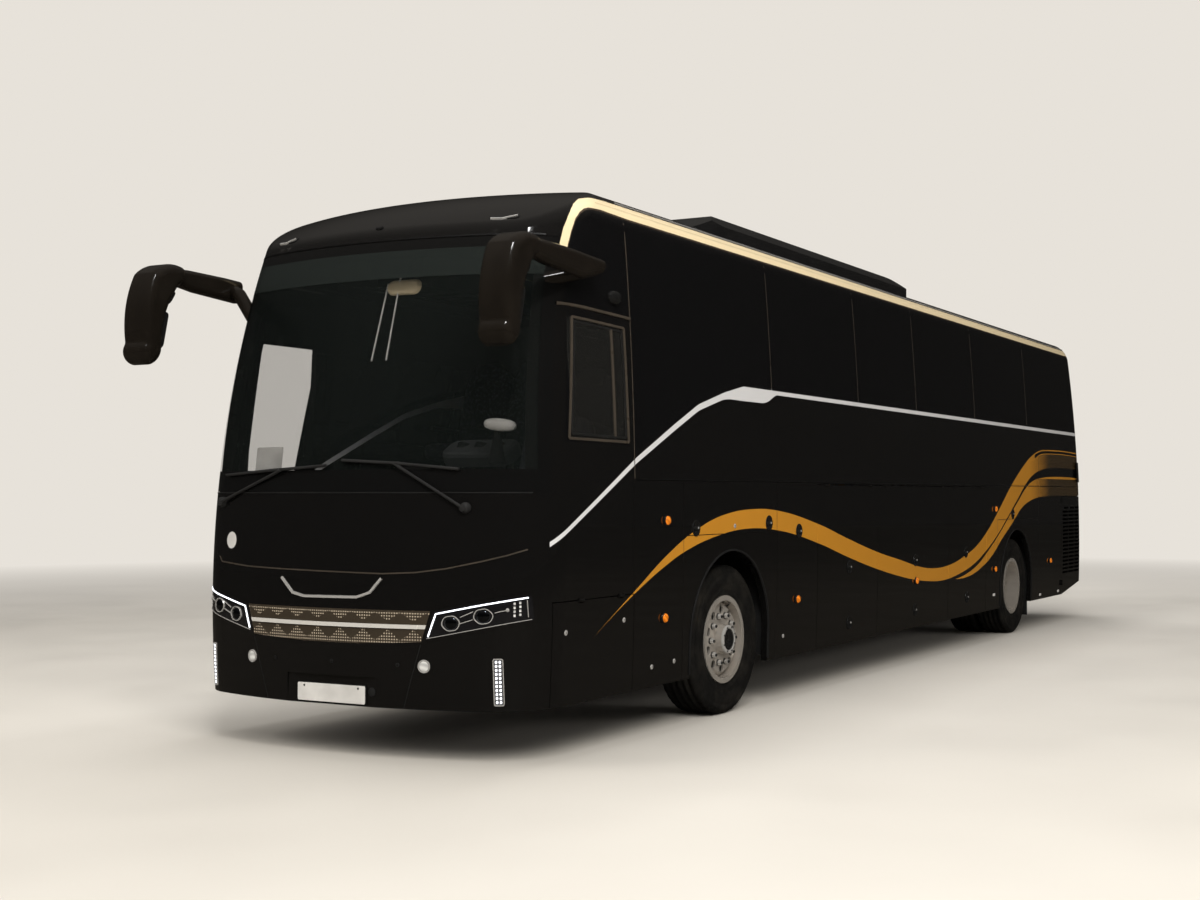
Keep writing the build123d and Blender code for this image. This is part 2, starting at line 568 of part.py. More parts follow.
# Entry steps rising inboard from the doorway: outer x, top z.
ENTRY_STEPS = [(-1195, 400), (-900, 640), (-640, 860)]
STEP_Y = (-5790, -4760)
STEP_T = 40
step_ends = [x for x, _ in ENTRY_STEPS[1:]] + [-380]
for (x0, top), x1 in zip(ENTRY_STEPS, step_ends):
    tread = block(x0, x1 + STEP_T, STEP_Y[0], STEP_Y[1], top - STEP_T, top)
    riser = block(x1, x1 + STEP_T, STEP_Y[0], STEP_Y[1], top - STEP_T, min(top + 260, CAB_Z))
    floor = floor + tread + riser
AISLE_STEPS = [(-5060, 1100), (-4900, 1250)]  # front y, top z
for y0, top in AISLE_STEPS:
    floor += block(-380, 160, y0, CAB_BACK_Y + RISER_T, CAB_Z - DECK_T, top)
parts["floor_deck"] = floor

RAIL_X = (400, 480)
RAIL_Z = (1160, DECK_Z - DECK_T)
frame = block(RAIL_X[0], RAIL_X[1], CAB_BACK_Y + RISER_T, 6100, *RAIL_Z)
frame += mirrored(frame)
cross_y = CAB_BACK_Y + 200
while cross_y < 6100:
    frame += block(-RAIL_X[1], RAIL_X[1], cross_y, cross_y + 60, RAIL_Z[0], RAIL_Z[0] + 100)
    cross_y += 900
tray_half = side_x(outer, HOLD_Z) - WALL - 12
frame += block(-tray_half, tray_half, *HOLD_Y, HOLD_Z - 40, HOLD_Z)
for y in (HOLD_Y[0], HOLD_Y[1] - 40):
    frame += block(-tray_half, tray_half, y, y + 40, HOLD_Z - 40, DECK_Z - DECK_T)
CAB_RAIL_Z = (420, 560)
POST_Y = (CAB_BACK_Y + RISER_T, CAB_BACK_Y + RISER_T + 60)
for x0 in (-300, 620):
    frame += block(x0, x0 + 80, -6080, FRONT_AXLE_Y - HOUSE_HALF, *CAB_RAIL_Z) & inner
    frame += block(x0, x0 + 80, *POST_Y, CAB_RAIL_Z[0], RAIL_Z[1])
    frame += block(x0, x0 + 80, -5900, -5840, CAB_RAIL_Z[0], CAB_Z - DECK_T)
frame += block(-1150, 1150, *POST_Y, *CAB_RAIL_Z)
frame += block(-700, 900, -5900, -5840, *CAB_RAIL_Z)
TAIL_RAIL_Y = REAR_AXLE_Y + 740
for x0 in (-RAIL_X[1], RAIL_X[0]):
    frame += block(x0, x0 + 80, *POST_Y, CAB_RAIL_Z[0], RAIL_Z[1])
    frame += block(x0, x0 + 80, TAIL_RAIL_Y, 6100, 430, 520)
    for y in (TAIL_RAIL_Y, 6040):
        frame += block(x0, x0 + 80, y, y + 60, 430, RAIL_Z[1])
for axle_y in (FRONT_AXLE_Y, REAR_AXLE_Y):
    size = (axle_y - HOUSE_HALF, axle_y + HOUSE_HALF)
    house = block(HOUSE_X - SHEET, FAR, *size, SKIRT_Z + 40, HOUSE_TOP_Z)
    house -= block(HOUSE_X, FAR, size[0] + SHEET, size[1] - SHEET, 0, HOUSE_TOP_Z - SHEET)
    house -= block(0, HOUSE_X, axle_y - AXLE_WAY, axle_y + AXLE_WAY, 0, HOUSE_Z)
    house &= inner
    link = block(RAIL_X[1] - 20, HOUSE_X, axle_y - 300, axle_y - 240, RAIL_Z[0], RAIL_Z[0] + 30)
    frame = frame + house + link + mirrored(house + link)
MUDFLAP_Y = REAR_AXLE_Y + HOUSE_HALF
mudflap = block(780, 1200, MUDFLAP_Y, MUDFLAP_Y + 12, 150, SKIRT_Z + 200)
frame = frame + mudflap + mirrored(mudflap)
parts["underframe"] = frame

ENGINE = (-430, 430, REAR_AXLE_Y + 890, 5950, 520, 1130)
engine = block(*ENGINE)
parts["engine_block"] = engine

# ---------------------------------------------------------------- axles, knuckles, wheels
KINGPIN_X = 940
KINGPIN_R = 22
SPINDLE_R = 45
RUN_FIT = 0.05
EYE_HALF = 60
AXLE_EYE_R = 50
STEER = 42
HUB_Z = TYRE_R


def air_spring(x, y, foot_z):
    """Pedestal and bellows between an axle and the frame rail."""
    return rod((x, y, foot_z), (x, y, SPRING_Z), 35) + rod((x, y, SPRING_Z), (x, y, RAIL_Z[0]), SPRING_R)


def front_axle():
    """Dropped beam with an eye for each kingpin, air springs up to the frame."""
    beam = block(-KINGPIN_X + 40, KINGPIN_X - 40, FRONT_AXLE_Y - 50, FRONT_AXLE_Y + 50, 470, 560)
    beam -= block(-600, 600, -FAR, 0, 540, FAR)
    for side in (-1, 1):
        x = side * KINGPIN_X
        beam += rod((x, FRONT_AXLE_Y, HUB_Z - EYE_HALF), (x, FRONT_AXLE_Y, HUB_Z + EYE_HALF), AXLE_EYE_R)
        beam -= rod((x, FRONT_AXLE_Y, 300), (x, FRONT_AXLE_Y, 700), KINGPIN_R + RUN_FIT)
        beam += air_spring(side * SPRING_X, FRONT_AXLE_Y, 530)
    return beam


def knuckle():
    """Left steering knuckle: kingpin, fork round the axle eye, spindle."""
    x, y = KINGPIN_X, FRONT_AXLE_Y
    low, high = HUB_Z - EYE_HALF, HUB_Z + EYE_HALF
    piece = rod((x, y, low - 45), (x, y, high + 45), KINGPIN_R)
    for z0 in (low - 41, high + 1):
        piece += rod((x, y, z0), (x, y, z0 + 40), AXLE_EYE_R)
        piece += block(x, x + 95, y - 50, y + 50, z0, z0 + 40)
    piece += block(x + 30, x + 95, y - 50, y + 50, low - 41, high + 41)
    piece -= rod((x, y, low - 1), (x, y, high + 1), AXLE_EYE_R + HINGE_CLEAR) - rod(
        (x, y, low - 2), (x, y, high + 2), KINGPIN_R
    )
    piece += rod((x + 60, y, HUB_Z), (x + 235, y, HUB_Z), SPINDLE_R)
    return piece


def ring(profile, x, y):
    """Turn an (offset, radius) outline about the wheel's axle line."""
    face = make_face(Polyline(*[(offset_x, 0, r) for offset_x, r in profile], close=True))
    return Pos(x, y, HUB_Z) * revolve(face, Axis.X)


# Tyre and rim sections from the wheel's middle outward: offset, radius.
half_w = TYRE_W / 2
SHOULDER = 22
BEAD_HALF = 112
SIDEWALL_UP = 120  # height of the widest point over the bead
TYRE_SECTION = [
    (-BEAD_HALF, RIM_R),
    (BEAD_HALF, RIM_R),
    (half_w, RIM_R + SIDEWALL_UP),
    (half_w - 6, TYRE_R - SHOULDER),
    (half_w - 6 - SHOULDER, TYRE_R),
    (-half_w + 6 + SHOULDER, TYRE_R),
    (-half_w + 6, TYRE_R - SHOULDER),
    (-half_w, RIM_R + SIDEWALL_UP),
]
FLANGE_UP = 14
FLANGE_T = 14
TYRE_FIT = 0.3
# Inner face of the flange, clear of the sidewall where it leans out.
flange_in = BEAD_HALF + (half_w - BEAD_HALF) * FLANGE_UP / SIDEWALL_UP + TYRE_FIT
BARREL_IN = RIM_R - 22
HUB_R = 140
DISC_T = 16
DISC_LEAN = 48
HAND_HOLES = 10
HAND_HOLE_R = 30
HAND_HOLE_PCR = 205
NUTS = 10
NUT_PCR = 335 / 2
NUT_R = 17
NUT_H = 24


TYRE_FLATS = 60


def tyre(x, y):
    """A tyre made of flats, enough to look round, with a corner at its lowest point."""
    turns = [2 * pi * k / TYRE_FLATS - pi / 2 for k in range(TYRE_FLATS)]
    rings = []
    for offset, r in TYRE_SECTION:
        reach = r / cos(pi / TYRE_FLATS) if r == RIM_R else r  # the bore's flats touch the rim
        rings.append([(x + offset, y + reach * cos(t), HUB_Z + reach * sin(t)) for t in turns])
    faces = []
    for near, far in zip(rings, rings[1:] + rings[:1]):
        for k in range(TYRE_FLATS):
            corners = (near[k - 1], near[k], far[k], far[k - 1])
            faces.append(make_face(Polyline(*corners, close=True)))
    return Solid(Shell(faces))


def barrel():
    """Rim barrel under the tyre with a flange at each side."""
    out = flange_in + FLANGE_T
    flange = [(flange_in, RIM_R), (flange_in, RIM_R + FLANGE_UP), (out, RIM_R + FLANGE_UP), (out, BARREL_IN)]
    return [(-x, r) for x, r in reversed(flange)] + flange


def web(face_x, lean):
    """Section of a wheel disc whose edge leans to the rim at one side: offset, radius."""
    inboard = face_x - DISC_T
    edge = face_x + lean * DISC_LEAN
    return [
        (inboard, 60),
        (face_x, 60),
        (face_x, BARREL_IN - 42),
        (edge, BARREL_IN + 5),
        (edge - DISC_T, BARREL_IN + 5),
        (inboard, BARREL_IN - 42),
    ]


def disc(x, y, face_x, lean, hub_out, hub_bore):
    """Wheel disc at an offset, with hand holes, nuts and a hub bored for its spindle."""
    piece = ring(web(face_x, lean), x, y)
    for turn in range(HAND_HOLES):
        at = radians(360 * (turn + 0.5) / HAND_HOLES)
        cy, cz = y + HAND_HOLE_PCR * cos(at), HUB_Z + HAND_HOLE_PCR * sin(at)
        piece -= rod((x + face_x - 60, cy, cz), (x + face_x + 20, cy, cz), HAND_HOLE_R)
    for turn in range(NUTS):
        at = radians(360 * turn / NUTS)
        cy, cz = y + NUT_PCR * cos(at), HUB_Z + NUT_PCR * sin(at)
        piece += rod((x + face_x - 4, cy, cz), (x + face_x + NUT_H, cy, cz), NUT_R)
    hub = [(face_x - 90, 0), (face_x - 90, 110), (face_x - DISC_T, 110), (face_x, 105)]
    hub += [(face_x + hub_out, 95), (face_x + hub_out, 0)]
    piece += ring(hub, x, y)
    depth = [(face_x - 200, 0), (face_x - 200, hub_bore), (face_x - 12, hub_bore), (face_x - 12, 0)]
    return piece - ring(depth, x, y)


def right_rim(rim, axle_y):
    """The rim of the other side, turned half a nut's pitch, so that nuts don't line up across the coach."""
    hub = Pos(0, axle_y, HUB_Z)
    return hub * Rot(180 / NUTS, 0, 0) * hub.inverse() * mirrored(rim)


FRONT_FACE = 104  # front disc's outer face from the wheel's middle
REAR_FACE = -TWIN_SPACING / 2 + DISC_T  # rear discs meet between the twins
tyre_left = tyre(FRONT_WHEEL_X, FRONT_AXLE_Y)
rim_left = ring(barrel(), FRONT_WHEEL_X, FRONT_AXLE_Y)
rim_left += disc(FRONT_WHEEL_X, FRONT_AXLE_Y, FRONT_FACE, -1, 60, SPINDLE_R + RUN_FIT)
twin_x = (FRONT_WHEEL_X, FRONT_WHEEL_X - TWIN_SPACING)
twin_tyres = [tyre(x, REAR_AXLE_Y) for x in twin_x]
twin_rims = ring(barrel(), twin_x[0], REAR_AXLE_Y) + ring(barrel(), twin_x[1], REAR_AXLE_Y)
twin_disc = disc(FRONT_WHEEL_X, REAR_AXLE_Y, REAR_FACE, 1, 120, SPINDLE_R + RUN_FIT)
twin_rims += twin_disc + ring(web(REAR_FACE - DISC_T, -1), FRONT_WHEEL_X, REAR_AXLE_Y)

parts["front_axle"] = front_axle()
parts["knuckle_left"] = knuckle()
parts["knuckle_right"] = mirrored(knuckle())
parts["front_tyre_left"] = tyre_left
parts["front_tyre_right"] = mirrored(tyre_left)
parts["front_rim_left"] = rim_left
parts["front_rim_right"] = right_rim(rim_left, FRONT_AXLE_Y)
parts["rear_tyres_left"] = twin_tyres
parts["rear_tyres_right"] = [mirrored(twin) for twin in twin_tyres]
parts["rear_rims_left"] = twin_rims
parts["rear_rims_right"] = right_rim(twin_rims, REAR_AXLE_Y)

spindle_end = FRONT_WHEEL_X + REAR_FACE - 20
rear_axle = rod((-spindle_end, REAR_AXLE_Y, HUB_Z), (spindle_end, REAR_AXLE_Y, HUB_Z), SPINDLE_R)
rear_axle += rod((-600, REAR_AXLE_Y, HUB_Z), (600, REAR_AXLE_Y, HUB_Z), 80)
rear_axle += Pos(0, REAR_AXLE_Y, HUB_Z) * Sphere(210)
rear_axle += rod((0, REAR_AXLE_Y, HUB_Z), (0, ENGINE[2], HUB_Z + 120), 50)
for side in (-1, 1):
    rear_axle += air_spring(side * SPRING_X, REAR_AXLE_Y, HUB_Z)
parts["rear_axle"] = rear_axle - engine

# ---------------------------------------------------------------- cab and cabin
DASH = [
    (-6400, CAB_Z),
    (-6400, 1560),
    (-5900, 1580),
    (-5640, 1480),
    (-5560, 1330),
    (-5640, 1200),
    (-5700, CAB_Z),
]
dash = prism_x(DASH, -620, 1190) & inner
WHEEL_AT = (600, -5480, 1560)
WHEEL_TILT = 28
wheel_rim = Pos(*WHEEL_AT) * Rot(WHEEL_TILT, 0, 0) * Torus(215, 16)
dash += wheel_rim
column_end = (WHEEL_AT[0], WHEEL_AT[1] - 200, WHEEL_AT[2] - 300)
dash += rod(WHEEL_AT, column_end, 30)
for turn in (0, 120, 240):
    spoke = Pos(*WHEEL_AT) * Rot(WHEEL_TILT, 0, 0) * Rot(0, 0, turn + 90) * Pos(110, 0, 0) * Box(220, 40, 14)
    dash += spoke
parts["dashboard"] = dash

SEAT_PITCH = 800
SEAT_ROWS = 12
FIRST_SEAT_Y = -4050
SEAT_X = (270, 1140)
# Seat side view, front of cushion toward the nose: y, z over the floor.
SEAT_SIDE = [
    (0, 360),
    (0, 480),
    (60, 500),
    (430, 450),
    (600, 1120),
    (700, 1120),
    (560, 400),
    (480, 340),
]
LEG_Y = (120, 420)
seats = []
for row in range(SEAT_ROWS):
    y = FIRST_SEAT_Y + row * SEAT_PITCH
    outline = [(y + dy, DECK_Z + dz) for dy, dz in SEAT_SIDE]
    for x0, x1 in (SEAT_X, (-SEAT_X[1], -SEAT_X[0])):
        pair = prism_x(outline, x0, x1)
        for x in (x0 + 100, x1 - 140):
            pair += block(x, x + 40, y + LEG_Y[0], y + LEG_Y[1], DECK_Z, DECK_Z + 400)
        seats.append(pair)
DRIVER_Y = -5420
driver = prism_x([(DRIVER_Y + dy, CAB_Z + dz) for dy, dz in SEAT_SIDE], 350, 850)
driver += block(450, 750, DRIVER_Y + 120, DRIVER_Y + 420, CAB_Z, CAB_Z + 400)
seats.append(driver)
parts["seats"] = seats

RACK = [(760, 3010), (FAR, 2940), (FAR, 3000), (800, 3060), (780, 3200), (740, 3200)]
RACK_Y = (-4500, 5900)
rack = prism_y(RACK, *RACK_Y) & inner
for y in (RACK_Y[0], 700, RACK_Y[1] - 60):
    rack += prism_y([(760, 3040), (FAR, 2960), (FAR, FAR), (760, FAR)], y, y + 60) & inner
parts["luggage_racks"] = [rack, mirrored(rack)]

# ---------------------------------------------------------------- mirrors and wipers
MIRROR_X = 1330
ARM_HALF = 45
ARM_SIDE = [
    (-5430, 2900),
    (-5500, 2815),
    (-5710, 2770),
    (-6080, 2800),
    (-6260, 2830),
    (-6400, 2840),
    (-6400, 2925),
    (-6130, 2935),
    (-5820, 2925),
]
# Head in side view, arcs end to end, each by its start and a point on the way: y, z.
HEAD_SIDE = [
    (-6230, 2925),
    (-6380, 2935),
    (-6490, 2870),
    (-6550, 2690),
    (-6553, 2440),
    (-6545, 2330),
    (-6495, 2308),
    (-6440, 2345),
    (-6415, 2430),
    (-6375, 2650),
    (-6290, 2800),
    (-6240, 2850),
]
HEAD_X = (MIRROR_X - 125, MIRROR_X + 95)
HEAD_CORNER_R = 30
HEAD_EDGE_R = 55
ARM_CORNER_R = 35
ARM_EDGE_R = 38


def end_edges(shape):
    """Edges round the two faces at the shape's ends along X."""
    faces = shape.faces().sort_by(Axis.X)
    return faces[0].edges() + faces[-1].edges()


def bent_bar(points, r):
    """Round bars end to end, with a ball at each bend."""
    bar = rod(points[0], points[1], r)
    for a, b in zip(points[1:], points[2:]):
        bar = bar + Pos(*a) * Sphere(r) + rod(a, b, r)
    return bar


arm = prism_x(ARM_SIDE, MIRROR_X - ARM_HALF, MIRROR_X + ARM_HALF)
arm = fillet(arm.edges().filter_by(Axis.X), ARM_CORNER_R)
arm = fillet(end_edges(arm), ARM_EDGE_R)
head_at = [(HEAD_X[0], y, z) for y, z in HEAD_SIDE]
head_arcs = [ThreePointArc(*trio) for trio in zip(head_at[0::2], head_at[1::2], head_at[2::2] + head_at[:1])]
head = extrude(make_face(Wire(head_arcs)), amount=HEAD_X[1] - HEAD_X[0], dir=(1, 0, 0))
head = fillet(head.edges().filter_by(Axis.X), HEAD_CORNER_R)
head = fillet(end_edges(head), HEAD_EDGE_R)
ROOT_R = 42
root = rod((MIRROR_X, -5560, 2840), (1100, -5740, 2770), ROOT_R)
# The right arm is short, ahead of the door's swing, and bends down to the nose's corner.
DOOR_SIDE_ARM_Y = -5690
SHORT_ROOT = [(MIRROR_X, -5745, 2855), (1215, -5790, 2810), (1050, -5800, 2600)]
short_arm = arm & block(0, FAR, -FAR, DOOR_SIDE_ARM_Y, 0, FAR)
short_root = bent_bar(SHORT_ROOT, ROOT_R)
parts["mirrors"] = [arm + [head, root - outer], mirrored(short_arm + [head, short_root - outer])]

# Wipers: pivot x, z, then arm end x, z, then the blade's two ends x, z.
WIPERS = [
    ((867, 1446), (420, 1700), (820, 1665), (60, 1720)),
    ((-993, 1475), (-420, 1665), (-960, 1640), (-60, 1690)),
]
WIPER_OFF = 26
WIPER_R = 9


def on_nose(x, z, off):
    """Point on the nose at x and z, a little in front of the surface."""
    probe = outer & block(x - 1, x + 1, -FAR, 0, z - 1, z + 1)
    return (x, probe.bounding_box().min.Y - off, z)


wipers = []
for pivot, tip, blade_a, blade_b in WIPERS:
    foot = on_nose(*pivot, WIPER_OFF)
    end = on_nose(*tip, WIPER_OFF)
    piece = rod((foot[0], foot[1] - 10, foot[2]), (foot[0], foot[1] + 90, foot[2]), 20) - outer
    piece += rod(foot, end, WIPER_R)
    blade = [on_nose(*blade_a, WIPER_OFF - 6), on_nose((blade_a[0] + blade_b[0]) / 2, tip[1], WIPER_OFF)]
    blade.append(on_nose(*blade_b, WIPER_OFF - 6))
    piece += rod(blade[0], blade[1], WIPER_R) + rod(blade[1], blade[2], WIPER_R)
    wipers.append(piece)
parts["wipers"] = wipers

# ---------------------------------------------------------------- files
for name, shape in parts.items():
    solids = []
    for piece in shape if isinstance(shape, list) else [shape]:
        solids += piece.solids()
    export_step(Compound(children=solids) if len(solids) > 1 else solids[0], f"parts/{name}.step")
    print(name, len(solids))
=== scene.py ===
"""Looks of the touring coach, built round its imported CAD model. Metres, in the model's own frame."""

import json
from math import cos, hypot, pi, radians, sin, sqrt

import bpy
from mathutils import Matrix, Vector
from mathutils.bvhtree import BVHTree

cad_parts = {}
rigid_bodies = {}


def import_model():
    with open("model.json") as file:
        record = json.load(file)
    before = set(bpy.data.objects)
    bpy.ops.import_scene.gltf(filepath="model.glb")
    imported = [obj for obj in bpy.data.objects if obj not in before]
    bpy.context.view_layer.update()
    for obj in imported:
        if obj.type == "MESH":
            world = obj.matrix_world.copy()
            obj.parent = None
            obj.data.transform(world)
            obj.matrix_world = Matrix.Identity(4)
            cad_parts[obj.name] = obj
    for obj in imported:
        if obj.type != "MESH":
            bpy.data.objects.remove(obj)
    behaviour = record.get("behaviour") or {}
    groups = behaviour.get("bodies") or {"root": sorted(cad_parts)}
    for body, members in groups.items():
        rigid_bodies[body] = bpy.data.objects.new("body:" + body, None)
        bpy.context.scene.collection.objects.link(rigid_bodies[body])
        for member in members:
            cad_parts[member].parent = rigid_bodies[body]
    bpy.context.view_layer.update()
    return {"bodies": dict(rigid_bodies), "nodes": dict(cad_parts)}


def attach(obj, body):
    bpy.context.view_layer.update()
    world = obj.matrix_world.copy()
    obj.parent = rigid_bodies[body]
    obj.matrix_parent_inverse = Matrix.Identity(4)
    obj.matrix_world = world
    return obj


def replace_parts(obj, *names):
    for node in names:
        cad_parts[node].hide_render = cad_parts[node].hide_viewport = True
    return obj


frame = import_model()
nodes = frame["nodes"]
BODY = "coach_body"
SIDES = (("left", 1), ("right", -1))
BACKDROP = (0.80, 0.76, 0.70)


# ---------------------------------------------------------------- camera, light and stage
def make_camera():
    """The camera where the coach was seen from."""
    data = bpy.data.cameras.new("camera")
    data.sensor_width = 36.0
    data.lens = 46.176
    data.shift_x = -0.10278
    data.shift_y = -0.00279
    data.clip_end = 300
    camera = bpy.data.objects.new("camera", data)
    camera.location = (6.0696, -13.2263, 1.5250)
    camera.rotation_euler = (pi / 2 + 0.03065, 0, 0.46959)
    bpy.context.scene.collection.objects.link(camera)
    bpy.context.scene.camera = camera


def make_light(name, place, aim, size, power, colour=(1, 1, 1), mirrored=True):
    """A soft rectangular lamp, seen in reflections or not."""
    data = bpy.data.lights.new(name, "AREA")
    data.shape = "RECTANGLE"
    data.size, data.size_y = size
    data.energy = power
    data.color = colour
    lamp = bpy.data.objects.new(name, data)
    lamp.location = place
    lamp.visible_glossy = mirrored
    lamp.rotation_euler = (Vector(aim) - Vector(place)).to_track_quat("-Z", "Y").to_euler()
    bpy.context.scene.collection.objects.link(lamp)


def make_world():
    """Pale for the camera and through glass, soft for diffuse light, dark below and bright above in reflections."""
    world = bpy.data.worlds.new("studio")
    bpy.context.scene.world = world
    world.use_nodes = True
    tree = world.node_tree
    tree.nodes.clear()
    link = tree.links.new
    out = tree.nodes.new("ShaderNodeOutputWorld")
    path = tree.nodes.new("ShaderNodeLightPath")
    seen = tree.nodes.new("ShaderNodeMath")
    seen.operation = "MAXIMUM"
    link(path.outputs["Is Camera Ray"], seen.inputs[0])
    link(path.outputs["Is Transmission Ray"], seen.inputs[1])
    up = tree.nodes.new("ShaderNodeSeparateXYZ")
    link(tree.nodes.new("ShaderNodeTexCoord").outputs["Generated"], up.inputs[0])
    height = tree.nodes.new("ShaderNodeMapRange")
    height.interpolation_type = "SMOOTHSTEP"
    for index, value in ((1, 0.20), (2, 0.95), (3, 0.018), (4, 0.15)):
        height.inputs[index].default_value = value
    link(up.outputs[2], height.inputs[0])
    pale, soft, mirrored = (tree.nodes.new("ShaderNodeBackground") for _ in range(3))
    pale.inputs["Color"].default_value = (*BACKDROP, 1)
    pale.inputs["Strength"].default_value = 1.0
    soft.inputs["Color"].default_value = (1.0, 0.96, 0.90, 1)
    soft.inputs["Strength"].default_value = 0.36
    mirrored.inputs["Color"].default_value = (1.0, 0.93, 0.84, 1)
    link(height.outputs[0], mirrored.inputs["Strength"])
    glossy, mix = (tree.nodes.new("ShaderNodeMixShader") for _ in range(2))
    link(path.outputs["Is Glossy Ray"], glossy.inputs[0])
    link(soft.outputs[0], glossy.inputs[1])
    link(mirrored.outputs[0], glossy.inputs[2])
    link(seen.outputs[0], mix.inputs[0])
    link(glossy.outputs[0], mix.inputs[1])
    link(pale.outputs[0], mix.inputs[2])
    link(mix.outputs[0], out.inputs["Surface"])


bpy.context.scene.view_settings.view_transform = "Standard"
make_camera()
make_world()
make_light("key", (9, -13, 9), (0, -2, 1), (7, 7), 1700, (1, 0.97, 0.92), False)
make_light("fill", (-9, -12, 6), (0, -4, 1.5), (6, 6), 600, (1, 0.96, 0.9), False)
make_light("top", (0, 0, 11), (0, 0, 0), (4, 14), 900, (1, 1, 1), False)
make_light("side", (14, 4, 4), (0, 1, 1), (9, 1.6), 300, (1, 0.97, 0.93), False)
make_light("back", (-6, 13, 8), (0, 3, 1), (8, 6), 700, (1, 1, 1), False)
make_light("glint", (7, -14, 14), (0, -6, 3), (1.8, 1.4), 420)


# ---------------------------------------------------------------- materials
class Shade:
    """A procedural material, its coordinates those of the coach."""

    def __init__(self, name, colour, rough, metal=0.0, coat=0.0):
        self.mat = bpy.data.materials.new(name)
        self.mat.use_nodes = True
        self.tree = self.mat.node_tree
        self.bsdf = self.tree.nodes["Principled BSDF"]
        self.bsdf.inputs["Base Color"].default_value = (*colour, 1)
        self.bsdf.inputs["Roughness"].default_value = rough
        self.bsdf.inputs["Metallic"].default_value = metal
        self.bsdf.inputs["Coat Weight"].default_value = coat
        self.bsdf.inputs["Coat Roughness"].default_value = 0.03
        self.spot = self.tree.nodes.new("ShaderNodeTexCoord").outputs["Object"]
        split = self.tree.nodes.new("ShaderNodeSeparateXYZ")
        self.tree.links.new(self.spot, split.inputs[0])
        self.x, self.y, self.z = split.outputs

    def put(self, value, socket):
        if isinstance(value, bpy.types.NodeSocket):
            self.tree.links.new(value, socket)
        elif isinstance(value, tuple):
            socket.default_value = (*value, 1) if len(value) == 3 else value
        else:
            socket.default_value = value

    def to(self, name, value):
        self.put(value, self.bsdf.inputs[name])

    def math(self, op, *values):
        node = self.tree.nodes.new("ShaderNodeMath")
        node.operation = op
        for value, socket in zip(values, node.inputs):
            self.put(value, socket)
        return node.outputs[0]

    def mix(self, share, a, b):
        node = self.tree.nodes.new("ShaderNodeMix")
        node.data_type = "RGBA"
        for value, index in ((share, 0), (a, 6), (b, 7)):
            self.put(value, node.inputs[index])
        return node.outputs[2]

    def scale(self, value, low, high, a=0.0, b=1.0):
        node = self.tree.nodes.new("ShaderNodeMapRange")
        for item, index in ((value, 0), (low, 1), (high, 2), (a, 3), (b, 4)):
            self.put(item, node.inputs[index])
        return node.outputs[0]

    def noise(self, size, detail=3.0):
        node = self.tree.nodes.new("ShaderNodeTexNoise")
        self.tree.links.new(self.spot, node.inputs["Vector"])
        node.inputs["Scale"].default_value = size
        node.inputs["Detail"].default_value = detail
        return node.outputs["Fac"]

    def band(self, value, low, high):
        return self.math("MULTIPLY", self.math("GREATER_THAN", value, low), self.math("LESS_THAN", value, high))

    def both(self, *masks):
        found = masks[0]
        for mask in masks[1:]:
            found = self.math("MULTIPLY", found, mask)
        return found

    def either(self, *masks):
        found = masks[0]
        for mask in masks[1:]:
            found = self.math("MAXIMUM", found, mask)
        return found

    def line(self, value, at, half):
        return self.math("LESS_THAN", self.math("ABSOLUTE", self.math("SUBTRACT", value, at)), half)

    def curve(self, points, straight=False):
        """Height as a function of y, through points of (y, z)."""
        node = self.tree.nodes.new("ShaderNodeFloatCurve")
        line = node.mapping.curves[0]
        first, last = points[0][0], points[-1][0]
        spots = [((y - first) / (last - first), z / 4) for y, z in points]
        line.points[0].location = spots[0]
        line.points[1].location = spots[-1]
        for spot in spots[1:-1]:
            line.points.new(*spot)
        if straight:
            for point in line.points:
                point.handle_type = "VECTOR"
        node.mapping.update()
        self.put(self.scale(self.y, first, last), node.inputs["Value"])
        return self.math("MULTIPLY", node.outputs[0], 4.0)

    def bump(self, height, strength, distance=0.002):
        node = self.tree.nodes.new("ShaderNodeBump")
        node.inputs["Strength"].default_value = strength
        node.inputs["Distance"].default_value = distance
        self.put(height, node.inputs["Height"])
        self.to("Normal", node.outputs[0])

    def wear(self, size, low, high):
        """Roughness that drifts between two values."""
        self.to("Roughness", self.scale(self.noise(size), 0.3, 0.7, low, high))


BLACK = (0.0042, 0.0040, 0.0039)
GOLD = (0.49, 0.215, 0.022)
BROWN = (0.040, 0.026, 0.012)
SILVER = (0.62, 0.62, 0.63)
CREAM = (0.80, 0.66, 0.42)

# Edges of the painted bands along the side: y, z.
SILVER_TOP = [(-5.9, 1.250), (-5.39, 1.518), (-4.96, 1.748), (-4.45, 1.979), (-4.108, 2.125), (-3.716, 2.228)]
SILVER_TOP += [(-3.404, 2.290), (-3.164, 2.313), (-3.0, 2.309), (-2.863, 2.298), (6.3, 2.289)]
SILVER_LOW = [(-5.9, 1.222), (-5.39, 1.487), (-4.96, 1.712), (-4.45, 1.938), (-4.108, 2.083), (-3.743, 2.176)]
SILVER_LOW += [(-3.643, 2.186), (-3.414, 2.184), (-3.096, 2.186), (-3.012, 2.199), (-2.867, 2.258), (6.3, 2.250)]
CREAM_TOP = [(-5.65, 2.985), (-5.606, 3.089), (-5.572, 3.151), (-5.527, 3.207), (-5.466, 3.257), (-5.401, 3.295)]
CREAM_TOP += [(-5.361, 3.312), (-5.274, 3.330), (-5.1, 3.339), (6.3, 3.318)]
CREAM_LOW = [(-5.65, 2.86), (-5.593, 3.003), (-5.539, 3.117), (-5.505, 3.170), (-5.469, 3.205), (-5.415, 3.237)]
CREAM_LOW += [(-5.364, 3.251), (-5.234, 3.259), (-4.9, 3.25), (6.3, 3.25)]
